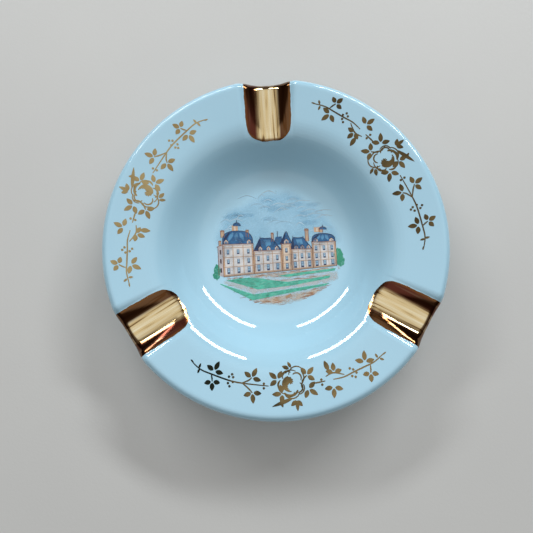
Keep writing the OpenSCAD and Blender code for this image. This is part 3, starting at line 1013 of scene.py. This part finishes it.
def enamel_material(name, shade_ink, depth, wear, wash_scale=260.0):
    """Fired transfer colour: each patch in its own ink, washed towards a shade ink."""
    material, nodes, links, shader = new_material(name)
    place = nodes.new("ShaderNodeTexCoord").outputs["Object"]
    colour = add_attribute(nodes, links, "ink")
    grain = add_group(nodes, links, print_grain, place, wear=wear, wash_scale=wash_scale)
    washed = add_range(nodes, links, grain["Tone"], 0.42, 0.68, 0.0, depth)
    feed(links, shader, {
        "Base Color": add_mix(nodes, links, washed, colour["Color"], shade_ink),
        "Alpha": add_math(nodes, links, "MULTIPLY", grain["Cover"], colour["Alpha"]),
        "Roughness": add_range(nodes, links, grain["Tone"], 0.3, 0.7, 0.1, 0.24),
        "Normal": add_bump(nodes, links, grain["Tone"], 0.01 * mm), "IOR": 1.55})
    return material


def lay_sheet(layer, sheet, material):
    """Lays a flat sheet of the print in the well as one thin closed piece."""
    flat = np.array(sheet["points"])
    points = np.column_stack([flat, upper_height(flat[:, 0], flat[:, 1])])
    piece = coated_solid(
        f"picture_{layer}_piece", points, sheet["faces"], print_lifts[layer] + np.array(sheet["rises"]),
        print_under, material, {"ink": sheet["inks"]})
    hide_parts(f"picture_{layer}")
    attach(piece, "root")


walls_low, walls_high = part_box("picture_walls")
front_l = (walls_high.x - walls_low.x) / mm
front_middle = (walls_high.x + walls_low.x) / 2 / mm
front_climb = 0.047
front_shrink = 0.006
ground_drop = -walls_low.y / mm - front_climb * front_l / 2
# Where the pavilions, wings and middle bay meet, as shares of the front's length
front_x = [share * front_l for share in (-0.5, -0.2, 0.04, 0.12, 0.3, 0.5)]


def seen(x, height):
    """A point of the view as drawn: the ground climbs and heights shrink to the right."""
    return (x + front_middle, front_climb * x + height * (1 - front_shrink * x) - ground_drop)


def drawn(outline):
    """An outline given along the front and up from its ground line, as drawn in the view."""
    return [seen(x, height) for x, height in outline]


painter = random.Random(11)
sky = new_sheet()
sky_outline = []
for i in range(72):
    a = math.radians(i * 5)
    wobble = 1 + 0.035 * math.sin(5 * a + 1) + 0.02 * math.sin(11 * a)
    reach = 24.5 if math.sin(a) > 0 else 6.5
    sky_outline.append((0.6 + 26.6 * math.cos(a) * wobble, 1.5 + reach * math.sin(a) * wobble))
add_patch(sky, sky_outline, (*ink(154, 200, 222), 0.42), grain=1.2, fade=4.0)
for i in range(16):
    x = painter.uniform(-19, 19)
    y = painter.uniform(13, 23) - 0.012 * x * x
    ring = [(x + painter.uniform(3, 5) * math.cos(t), y + painter.uniform(0.8, 1.6) * math.sin(t))
            for t in ring_angles(13)]
    add_patch(sky, ring, (*ink(136, 188, 216), 0.3), rise=0.004 + 0.0004 * i, grain=0.8, fade=1.0)
cloud_lines = []
for i in range(34):
    x = painter.uniform(-21, 21)
    y = painter.uniform(11, 24.5) - 0.016 * x * x
    bend = painter.uniform(0.4, 1.6)
    length = painter.uniform(1.5, 4.5)
    lean = painter.uniform(-0.2, 0.5)
    cloud_lines.append([(x - length, y - lean), (x, y + bend), (x + length, y + lean)])
add_lines(sky, cloud_lines, 0.4, (*ink(205, 226, 236), 0.75), rise=0.012, tapered=True)
lay_sheet("sky", sky, enamel_material("enamel_sky_wash", ink(172, 208, 226), 0.7, 0.35, 120.0))

# ---- Printed view: walls -------------------------------------------------------------------
# Pale stone fronts of a country house in a generic style: two end pavilions, two wings and a
# narrow middle bay, with tan pilasters, a shaded side wall and chimney stacks.

pavilion_h = 12.0
wing_h = 9.0
bay_h = (pavilion_h + wing_h) / 2 + 1
side_wall_w = 2.0
side_wall_h = pavilion_h * 0.93
side_wall_foot = 0.6
plinth_h = 0.7
course_h = 0.28
corner_w = 0.62
pilaster_half = 0.26
stone = ink(228, 224, 222)
stone_warm = ink(232, 212, 190)
tan = ink(214, 176, 140)
tan_dark = ink(178, 130, 96)
side_left = front_x[0]
front_from = [side_left + side_wall_w] + front_x[1:5]
# Left end, right end, height, windows across and storeys of each front, from left to right
fronts = list(zip(front_from, front_x[1:], (pavilion_h, wing_h, bay_h, wing_h, pavilion_h),
                  (3, 3, 1, 3, 3), (3, 2, 3, 2, 3)))
# Middle, foot, half breadth and height of each chimney stack, and middle and foot of each of
# the two broad stone dormers
chimneys = [(-22.4, 14.6, 0.7, 2.6), (-12.0, 14.6, 0.5, 2.9), (-1.6, 12.6, 0.45, 3.8),
            (12.8, 12.4, 0.65, 5.8), (18.9, 16.4, 0.6, 2.2), (-23.6, 11.4, 0.45, 2.0)]
stone_dormers = [(-17.1, 16.9), (17.2, 16.6)]


def storey_height(height, storeys):
    return height / (storeys + 0.3)


def course_height(height, storeys, row):
    """Height of the string course over one storey's windows."""
    return storey_height(height, storeys) * (row + 0.93)


def box_panel(x0, x1, low, high):
    return drawn([(x0, low), (x1, low), (x1, high), (x0, high)])


walls = new_sheet()
for x0, x1, high, bays, storeys in fronts:
    add_patch(walls, box_panel(x0, x1, 0, high), stone_warm if bays == 1 else stone, grain=1.5)
    bay_w = (x1 - x0) / bays
    for c in range(bays + 1):
        middle = x0 + c * bay_w
        at_end = c in (0, bays)
        half = corner_w if at_end else pilaster_half
        add_patch(walls, box_panel(max(x0, middle - half), min(x1, middle + half), 0, high - 0.4),
                  tan if at_end else stone_warm, rise=0.004)
    for row in range(storeys):
        at = course_height(high, storeys, row)
        add_patch(walls, box_panel(x0, x1, at, at + course_h), stone_warm, rise=0.008)
    add_patch(walls, box_panel(x0, x1, 0, plinth_h), ink(196, 166, 136), rise=0.010)
add_patch(walls, drawn([(side_left, side_wall_foot), (front_from[0], 0), (front_from[0], pavilion_h),
                        (side_left, side_wall_h)]), ink(206, 196, 196), grain=1.5)
for x, foot, half, height in chimneys:
    add_patch(walls, box_panel(x - half, x + half, foot, foot + height), tan, rise=0.004)
    cap = half * 1.35
    add_patch(walls, box_panel(x - cap, x + cap, foot + height * 0.8, foot + height), tan_dark, rise=0.010)
for x, foot in stone_dormers:
    add_patch(walls, box_panel(x - 1.25, x + 1.25, foot, foot + 2.3), ink(214, 172, 136), rise=0.004)
    add_patch(walls, box_panel(x - 0.35, x + 0.35, foot + 0.3, foot + 1.9), ink(236, 216, 196), rise=0.012)
lay_sheet("walls", walls, enamel_material("enamel_stone_walls", ink(192, 184, 186), 0.4, 0.3))

# ---- Printed view: roofs -------------------------------------------------------------------
# Slate roofs in deep blue: domes with lanterns over the pavilions, hipped roofs over the
# wings and a spire over the middle bay, with darker slopes and small pale dormers.

slate = ink(44, 104, 152)
slate_light = ink(92, 152, 192)
slate_dark = ink(22, 44, 84)
navy = ink(26, 38, 78)
dormer_stone = ink(220, 196, 176)
hip_rise = 5.0
cap_half = 1.5
cap_rise = 1.3
eaves_out = 0.6


def dome_outline(x0, x1, base, rise, flat_top=0.55):
    """A dome with bulging sides and a flattened crown."""
    middle = (x0 + x1) / 2
    half = (x1 - x0) / 2
    points = []
    for t in np.linspace(0, math.pi, 19):
        c, s = math.cos(t), math.sin(t)
        x = middle + half * math.copysign(abs(c) ** 0.85, c)
        points.append(seen(x, base + rise * s ** flat_top if s > 1e-6 else base))
    return points


roofs = new_sheet()
roof_lines = []


def add_dome(x0, x1, base):
    """A dome: its slate, three lit strokes, the shaded left side, a small cap and two dormers."""
    rise = (x1 - x0) * 0.4
    middle = (x0 + x1) / 2
    add_patch(roofs, dome_outline(x0, x1, base, rise), slate, grain=1.5)
    for share in (0.2, 0.45, 0.7):
        x = x0 + (x1 - x0) * share
        stroke = [(x, base + rise * 0.25), (x + (middle - x) * 0.3, base + rise * 0.6),
                  (x + (middle - x) * 0.55, base + rise * 0.85)]
        add_lines(roofs, [drawn(stroke)], 1.5, slate_light, rise=0.006, tapered=True)
    shadow = [(x0, base), (x0 + 0.9, base + rise * 0.5), (x0 + 2.6, base + rise * 0.86),
              (x0 + 3.6, base + rise * 0.9), (x0 + 1.9, base + rise * 0.4), (x0 + 1.5, base)]
    add_patch(roofs, drawn(shadow), slate_dark, rise=0.008)
    roof_lines.append(dome_outline(x0 + 0.1, x1 - 0.1, base, rise))
    cap = base + rise + 1.9
    cap_outline = dome_outline(middle - cap_half, middle + cap_half, cap, cap_rise, 0.8)
    add_patch(roofs, cap_outline, slate, rise=0.004)
    roof_lines.append(cap_outline)
    roof_lines.append(drawn([(middle, cap + 1.2), (middle, cap + 2.3)]))
    for x in (x0 + 1.6, x1 - 1.6):
        add_dormer(x, base, 0.9, 1.9)


def add_dormer(x, base, half, height):
    """A dormer: pale front, dark window, small pediment."""
    pediment = [(x + half, base + height * 0.6), (x, base + height), (x - half, base + height * 0.6)]
    add_patch(roofs, drawn([(x - half, base), (x + half, base)] + pediment), dormer_stone, rise=0.014)
    add_patch(roofs, box_panel(x - half * 0.42, x + half * 0.42, base + 0.15, base + height * 0.55),
              ink(118, 150, 178), rise=0.020)
    roof_lines.append(drawn(pediment[::-1]))


def add_hipped(x0, x1, base, rise, ridge_from, ridge_to, dormers):
    """A hipped roof: front slope, dark left hip, ridge and a row of dormers."""
    a, b = x0 + (x1 - x0) * ridge_from, x0 + (x1 - x0) * ridge_to
    top = base + rise
    add_patch(roofs, drawn([(x0, base), (x1, base), (b, top), (a, top)]), slate, grain=1.5)
    add_patch(roofs, drawn([(x0, base), (a + 0.6, base), (a, top)]), slate_dark, rise=0.006)
    lit = [(b - 2.2, base + rise * 0.3), (b - 0.2, base + rise * 0.45), (b - 0.6, base + rise * 0.9),
           (a + 1.2, base + rise * 0.85)]
    add_patch(roofs, drawn(lit), slate_light, rise=0.006)
    roof_lines.append(drawn([(x0, base), (a, top), (b, top), (x1, base)]))
    for i in range(dormers):
        add_dormer(x0 + (x1 - x0) * (0.25 + 0.29 * i), base, 0.75, 1.9)
    for x in (a, b):
        roof_lines.append(drawn([(x, top), (x, top + 0.8)]))


add_dome(front_from[0] - 0.1, front_x[1], pavilion_h)
add_dome(front_x[4], front_x[5], pavilion_h)
add_hipped(front_x[1], front_x[2], wing_h, hip_rise, 0.26, 0.66, 3)
add_hipped(front_x[3], front_x[4], wing_h, hip_rise, 0.12, 0.6, 3)
bay_left, bay_right = front_x[2:4]
spire_x = (bay_left + bay_right) / 2
spire_top = (spire_x + 0.3, bay_h + 5.2)
eaves_left = (bay_left - eaves_out, bay_h)
eaves_right = (bay_right + eaves_out, bay_h)
add_patch(roofs, drawn([(bay_left - 3.4, wing_h + 2.2), (bay_left + 0.4, wing_h + 2.2),
                        (bay_left + 0.4, wing_h + 5.8), (bay_left - 2.2, wing_h + 5.6)]), slate, grain=1.5)
add_patch(roofs, drawn([eaves_left, eaves_right, spire_top]), slate, rise=0.004, grain=1.5)
add_patch(roofs, drawn([eaves_left, (bay_left + 0.9, bay_h), spire_top]), slate_dark, rise=0.010)
add_dormer(spire_x + 0.2, bay_h, 0.9, 2.3)
roof_lines.append(drawn([eaves_left, (spire_x + 0.3, bay_h + 5.4), eaves_right]))
roof_lines.append(drawn([(bay_left - 1.4, wing_h + 5.6), (bay_left - 1.4, wing_h + 8.0)]))
for line in roof_lines:
    straight = [p for a, b in zip(line, line[1:]) for p in steps_between(a, b, 2)] + [line[-1]]
    add_lines(roofs, [straight], 0.28, navy, rise=0.024, step=0.5)
lay_sheet("roofs", roofs, enamel_material("enamel_slate_blue", ink(30, 70, 118), 0.75, 0.25, 420.0))

# ---- Printed view: greenery ----------------------------------------------------------------
# Formal lawns laid out in beds that meet at a corner in front of the left pavilion, printed in
# sea green, and a bush at each end of the house. Short brush dabs break up the flat wash.


def add_ink(nodes, links, geometry, colour, domain):
    """Keeps an ink with a mesh, one for each point or each copy."""
    return add_node(nodes, links, "GeometryNodeStoreNamedAttribute",
                    {"Name": "ink", "Geometry": geometry, "Value": colour},
                    data_type="FLOAT_COLOR", domain=domain).outputs["Geometry"]


def brush_dab_tree():
    """Short dabs of two inks scattered over patches at a fixed seed."""
    tree, nodes, links, given, result = new_tree("brush_dabs", {
        "Density": ("Float", 1.0), "Length": ("Float", 1.0), "Breadth": ("Float", 0.2),
        "Turn": ("Float", 0.0), "Turn spread": ("Float", 0.2), "Light ink": ("Color", None),
        "Dark ink": ("Color", None), "Seed": ("Int", 1), "Material": ("Material", None)})
    given_out = given.outputs
    spots = add_node(nodes, links, "GeometryNodeDistributePointsOnFaces", {
        "Mesh": given_out["Geometry"], "Density": given_out["Density"], "Seed": given_out["Seed"]})
    dab = add_node(nodes, links, "GeometryNodeMeshCircle", {"Vertices": 8, "Radius": 0.5}, fill_type="NGON")
    least, most = (add_math(nodes, links, way, given_out["Turn"], given_out["Turn spread"])
                   for way in ("SUBTRACT", "ADD"))
    turn = add_node(nodes, links, "FunctionNodeRandomValue", {2: least, 3: most, "Seed": given_out["Seed"]})
    dabs = add_copies(nodes, links, spots.outputs["Points"], dab.outputs["Mesh"], given_out["Length"],
                      given_out["Breadth"], turn.outputs[1])
    chance = add_node(nodes, links, "FunctionNodeRandomValue",
                      {"Seed": add_math(nodes, links, "ADD", given_out["Seed"], 5.0)})
    mixed = add_mix(nodes, links, chance.outputs[1], given_out["Light ink"], given_out["Dark ink"])
    finish_tree(nodes, links, add_ink(nodes, links, dabs, mixed, "INSTANCE"), given, result)
    return tree


brush_dabs = brush_dab_tree()


def add_dabs(sheet, outline, light, dark, rise, **sizes):
    """Scatters dabs of two inks over a patch."""
    outline = anticlockwise(outline)
    flat, faces, inks = run_tree(brush_dabs, outline, [], [list(range(len(outline)))], {},
                                 light_ink=(*light, 1.0), dark_ink=(*dark, 1.0), **sizes)
    if len(flat):
        add_shape(sheet, flat, faces, [tuple(c) for c in inks], rise)


lawn = ink(90, 200, 172)
lawn_dark = ink(48, 150, 124)
lawn_light = ink(134, 212, 190)
bush = ink(60, 160, 126)
# Middle, middle height, half breadth and half height of each bush at the ends of the house
bushes = [(25.4, 4.4, 1.7, 4.2), (26.2, 2.0, 1.5, 2.6), (-25.2, 2.0, 1.3, 2.8), (-25.9, 0.7, 1.1, 1.2)]
# The two upper beds, then the near one, which turns a corner and narrows towards both its ends
lawn_beds = [
    [(-0.2, -1.8), (9.0, -1.4), (16.5, -1.3), (23.9, -1.2), (23.4, -2.3), (12.0, -2.5), (4.1, -2.8)],
    [(-21.6, -1.4), (-17.0, -1.2), (-12.2, -1.2), (-8.6, -1.8), (-2.0, -3.5), (3.6, -4.8),
     (12.0, -4.7), (21.4, -4.4), (21.0, -5.6), (5.8, -6.6), (-8.8, -6.3), (-14.4, -4.0)],
    [(-24.3, -2.3), (-10.5, -8.0), (20.8, -7.9), (19.2, -8.8), (-11.1, -10.2), (-24.0, -2.7)],
]
greenery = new_sheet()
for outline in map(drawn, lawn_beds):
    add_patch(greenery, outline, lawn, grain=1.5)
    add_dabs(greenery, outline, lawn_light, lawn_dark, 0.005, density=1.1, length=1.5, breadth=0.28,
             turn=0.09, turn_spread=0.12, seed=3)
for x, y, wide, high in bushes:
    ring = drawn([(x + wide * math.cos(t) * (1 + 0.1 * math.sin(5 * t)),
                   y + high * math.sin(t) * (1 + 0.07 * math.cos(7 * t))) for t in ring_angles(23)])
    add_patch(greenery, ring, bush if x > 0 else lawn_dark, rise=0.004 if wide > 1.5 else 0.007, grain=1.5)
    add_dabs(greenery, ring, lawn_light, lawn_dark, 0.012, density=2.5, length=0.8, breadth=0.32,
             turn=1.2, turn_spread=0.6, seed=8)
lay_sheet("greenery", greenery, enamel_material("enamel_sea_green", ink(66, 172, 142), 0.4, 0.25))

# ---- Printed view: paths -------------------------------------------------------------------
# The sand forecourt, the paths between the beds and the bare foreground, in thin sandy washes
# with brown brush strokes and one patch of ochre. The print simply runs out at their edges.

sand = ink(214, 190, 170)
sand_brown = ink(176, 116, 74)
paths = new_sheet()
forecourt = [(-22.6, 0.0), (0.0, -0.1), (24.4, -0.4), (27.2, -0.2), (27.0, -1.6), (20.0, -3.0),
             (4.0, -3.5), (-8.0, -1.8), (-23.0, -1.5)]
walks = [(-25.4, -1.4), (-8.0, -1.5), (6.0, -3.3), (24.6, -2.3), (24.8, -6.8), (20.0, -8.5),
         (-4.0, -8.4), (-10.6, -8.4)]
foreground = [(-14.5, -9.3), (-9.0, -9.6), (6.0, -9.3), (20.4, -8.8), (20.0, -10.3), (15.0, -12.4),
              (8.0, -14.0), (0.0, -14.2), (-6.0, -12.8)]
add_patch(paths, drawn(forecourt), (*sand, 0.9), grain=1.3, fade=0.8)
add_patch(paths, drawn(walks), (*ink(222, 210, 198), 0.6), grain=1.3, fade=1.0)
add_patch(paths, drawn(foreground), (*ink(226, 194, 164), 0.75), grain=1.2, fade=1.4, rise=0.003)
strokes = []
for i in range(70):
    x = painter.uniform(-13, 18)
    y = painter.uniform(-10.0 - 4.4 * (1 - ((x - 2.5) / 16) ** 2), -9.2)
    length = painter.uniform(0.8, 3.2)
    strokes.append(drawn([(x, y), (x + length / 2, y + painter.uniform(-0.1, 0.2)), (x + length, y)]))
add_lines(paths, strokes, 0.3, (*sand_brown, 0.8), rise=0.010, tapered=True)
walk_lines = []
for i in range(60):
    x = painter.uniform(-22, 19)
    y = painter.choice((-0.3, -0.9, -1.6, -3.4, -5.4, -8.4)) - 0.05 * (x + 22) * painter.uniform(0.0, 0.6)
    length = painter.uniform(1.5, 4.5)
    walk_lines.append(drawn([(x, y), (x + length / 2, y), (x + length, y)]))
add_lines(paths, walk_lines, 0.24, (*sand_brown, 0.75), rise=0.010, tapered=True)
ochre = drawn([(4.2 + 2.3 * math.cos(t), -10.7 + 0.8 * math.sin(t) + 0.3 * math.cos(t))
               for t in ring_angles(15)])
add_patch(paths, ochre, (*ink(206, 140, 62), 0.9), rise=0.013, grain=0.8, fade=0.6)
lay_sheet("paths", paths, enamel_material("enamel_sandy_paths", ink(204, 168, 138), 0.5, 0.45))

# ---- Printed view: windows -----------------------------------------------------------------
# Rows of tall sash windows, each a pale blue pane in a navy frame with a darker foot, printed
# over the stone.

window_w = 1.1


def sash_window_tree():
    """One sash window on each point, by the point's breadth and height."""
    tree, nodes, links, given, result = new_tree("sash_windows", {
        "Frame": ("Float", 0.2), "Frame ink": ("Color", None), "Pane ink": ("Color", None),
        "Foot ink": ("Color", None), "Material": ("Material", None)})
    parts = nodes.new("GeometryNodeJoinGeometry")
    both_frames = add_math(nodes, links, "MULTIPLY", given.outputs["Frame"], 2.0)
    pane_w = add_math(nodes, links, "SUBTRACT", 1.0, both_frames)
    for colour, wide, high, middle_y, lift in (
            ("Frame ink", 1.0, 1.0, 0, 0.0), ("Pane ink", pane_w, 0.84, 0.02, 0.006),
            ("Foot ink", pane_w, 0.2, -0.34, 0.012), ("Frame ink", 0.08, 0.84, 0.02, 0.016),
            ("Frame ink", pane_w, 0.05, 0.12, 0.016)):
        grid = add_node(nodes, links, "GeometryNodeMeshGrid",
                        {"Size X": wide, "Size Y": high, "Vertices X": 2, "Vertices Y": 2})
        place = add_node(nodes, links, "GeometryNodeTransform",
                         {"Geometry": grid.outputs["Mesh"], "Translation": (0, middle_y, lift)})
        inked = add_ink(nodes, links, place.outputs["Geometry"], given.outputs[colour], "POINT")
        links.new(inked, parts.inputs["Geometry"])
    breadth, height = (tree_attribute(nodes, links, name) for name in ("breadth", "height"))
    sashes = add_copies(nodes, links, given.outputs["Geometry"], parts.outputs["Geometry"], breadth, height)
    finish_tree(nodes, links, sashes, given, result)
    return tree


sash_windows = sash_window_tree()
window_spots, window_heights, window_widths = [], [], []
for x0, x1, high, bays, storeys in fronts:
    storey = storey_height(high, storeys)
    for c in range(bays):
        for row in range(storeys):
            height = storey * (0.66 if row == 0 else 0.55)
            x = x0 + (c + 0.5) * ((x1 - x0) / bays)
            window_spots.append(seen(x, storey * (row + 0.22) + height / 2))
            window_heights.append(height)
            window_widths.append(window_w * (1.1 if row == 0 else 0.95))
flat, faces, inks = run_tree(
    sash_windows, window_spots, [], [], {"breadth": window_widths, "height": window_heights}, frame=0.17,
    frame_ink=(*ink(62, 72, 108), 1.0), pane_ink=(*ink(172, 208, 228), 1.0),
    foot_ink=(*ink(34, 38, 76), 1.0))
windows = new_sheet()
add_shape(windows, flat, faces, [tuple(c) for c in inks])
windows["rises"] = list(flat[:, 2])
lay_sheet("windows", windows, enamel_material("enamel_window_blue", ink(120, 160, 196), 0.35, 0.15))

# ---- Printed view: linework ----------------------------------------------------------------
# The last printing: fine sepia lines that draw the cornices, string courses, corners, joints
# of the stone and the outlines of the chimneys over the washes.

sepia = ink(150, 94, 64)
sepia_light = ink(176, 126, 96)
linework = new_sheet()


def ruled(*ends):
    """A ruled line through points of the front, with points between them to keep it straight."""
    ends = drawn(ends)
    line = []
    for a, b in zip(ends, ends[1:]):
        line += steps_between(a, b, max(2, round(math.dist(a, b) / 1.2)))
    return line + [ends[-1]]


heavy, fine = [], []
for x0, x1, high, bays, storeys in fronts:
    heavy.append(ruled((x0 - 0.3, high), (x1 + 0.3, high)))
    fine.append(ruled((x0 - 0.2, high - 0.45), (x1 + 0.2, high - 0.45)))
    heavy.append(ruled((x0, 0), (x1, 0)))
    for x in (x0, x1):
        heavy.append(ruled((x, 0), (x, high)))
    for x in (x0 + corner_w, x1 - corner_w):
        fine.append(ruled((x, plinth_h), (x, high - 0.5)))
    for row in range(storeys):
        at = course_height(high, storeys, row)
        fine.append(ruled((x0, at), (x1, at)))
    bay_w = (x1 - x0) / bays
    for c in range(1, bays):
        fine.append(ruled((x0 + c * bay_w, plinth_h), (x0 + c * bay_w, high - 0.5)))
heavy.append(ruled((side_left, side_wall_foot), (side_left, side_wall_h)))
heavy.append(ruled((side_left - 0.5, pavilion_h * 0.92), (front_from[0], pavilion_h)))
slit_left, slit_right = side_left + 0.7, side_left + 1.3
for share in (0.14, 0.42, 0.7):
    low, high = pavilion_h * share, pavilion_h * (share + 0.13)
    add_patch(linework, drawn([(slit_left, low), (slit_right, low - 0.1), (slit_right, high),
                               (slit_left, high)]), ink(66, 44, 60))
for x, foot, half, height in chimneys:
    heavy.append(ruled((x - half, foot), (x - half, foot + height), (x + half, foot + height),
                       (x + half, foot)))
add_lines(linework, heavy, 0.22, sepia, rise=0.004, step=1.0)
add_lines(linework, fine, 0.12, sepia_light, step=1.0)
lay_sheet("linework", linework, enamel_material("enamel_sepia_line", ink(92, 48, 34), 0.5, 0.3))

# ---- Floor, light and camera ---------------------------------------------------------------
# A plain pale floor, two soft window lights on the far side and a dim room around, seen from
# almost straight above with the camera a little towards the front.

floor_half = 900.0
window_elevation = 33
window_distance = 1.2
window_size = (0.71, 0.13)
daylight = (0.93, 0.97, 1.0)
# The room's light from straight below to straight above: a dark floor, then a pale ceiling
room_light = [(0.0, (0.025, 0.016, 0.011)), (0.35, (0.045, 0.03, 0.022)), (0.66, (0.09, 0.065, 0.05)),
              (0.80, (0.6, 0.61, 0.61)), (1.0, (0.72, 0.75, 0.78))]
room_strength = 1.06
camera_lens = 37.8
camera_tilt = math.radians(81.73)
camera_roll = math.radians(-3.12)
camera_distance = 216.1
look_at = Vector((-4.0, -8.98, 22.0)) * mm


def floor_material():
    material, nodes, links, shader = new_material("pale_floor")
    place = nodes.new("ShaderNodeTexCoord").outputs["Object"]
    mottle = add_noise(nodes, links, place, 14.0, 3.0)
    fibre = add_noise(nodes, links, place, 900.0, 3.0)
    feed(links, shader, {
        "Base Color": add_mix(nodes, links, mottle, ink(214, 213, 209), ink(206, 205, 202)),
        "Roughness": add_range(nodes, links, fibre, 0.3, 0.7, 0.55, 0.75),
        "Normal": add_bump(nodes, links, fibre, 0.03 * mm)})
    return material


corners = [(-floor_half, -floor_half, 0), (floor_half, -floor_half, 0), (floor_half, floor_half, 0),
           (-floor_half, floor_half, 0)]
floor = new_piece("floor", corners, [[0, 1, 2, 3]], floor_material())
floor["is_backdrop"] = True


def window_light(name, azimuth, radiance):
    """A window seen from the plate in one direction, as a flat soft light."""
    data = bpy.data.lights.new(name, "AREA")
    data.shape = "RECTANGLE"
    data.size, data.size_y = window_size
    data.energy = radiance * math.pi * data.size * data.size_y
    data.color = daylight
    lamp = bpy.data.objects.new(name, data)
    bpy.context.scene.collection.objects.link(lamp)
    a, e = math.radians(azimuth), math.radians(window_elevation)
    away = Vector((math.cos(e) * math.cos(a), math.cos(e) * math.sin(a), math.sin(e)))
    lamp.location = away * window_distance
    lamp.rotation_euler = away.to_track_quat("Z", "Y").to_euler()


window_light("right_window", 55.5, 26.5)
window_light("left_window", 118, 17.5)

world = bpy.data.worlds.new("dim_room")
bpy.context.scene.world = world
world.use_nodes = True
room = world.node_tree.nodes
room_links = world.node_tree.links
sight = room.new("ShaderNodeTexCoord").outputs["Generated"]
height = add_node(room, room_links, "ShaderNodeSeparateXYZ", {"Vector": sight}).outputs["Z"]
bands = add_node(room, room_links, "ShaderNodeValToRGB", {"Fac": height})
stops = bands.color_ramp.elements
for at, colour in room_light:
    stop = stops[0] if at == 0 else stops[-1] if at == 1 else stops.new(at)
    stop.color = (*colour, 1)
feed(room_links, room["Background"], {"Color": bands.outputs["Color"], "Strength": room_strength})

camera_data = bpy.data.cameras.new("camera")
camera = bpy.data.objects.new("camera", camera_data)
bpy.context.scene.collection.objects.link(camera)
bpy.context.scene.camera = camera
camera_data.sensor_width = 36.0
camera_data.lens = camera_lens
camera_data.clip_start = 0.01
back = Vector((0, -math.cos(camera_tilt), math.sin(camera_tilt)))
side = Vector((1, 0, 0))
up = back.cross(side)
right = math.cos(camera_roll) * side + math.sin(camera_roll) * up
top = math.cos(camera_roll) * up - math.sin(camera_roll) * side
camera.matrix_world = (Matrix.Translation(look_at + back * camera_distance * mm)
                       @ Matrix((right, top, back)).transposed().to_4x4())
bpy.context.scene.view_settings.view_transform = "Standard"

low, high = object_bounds()
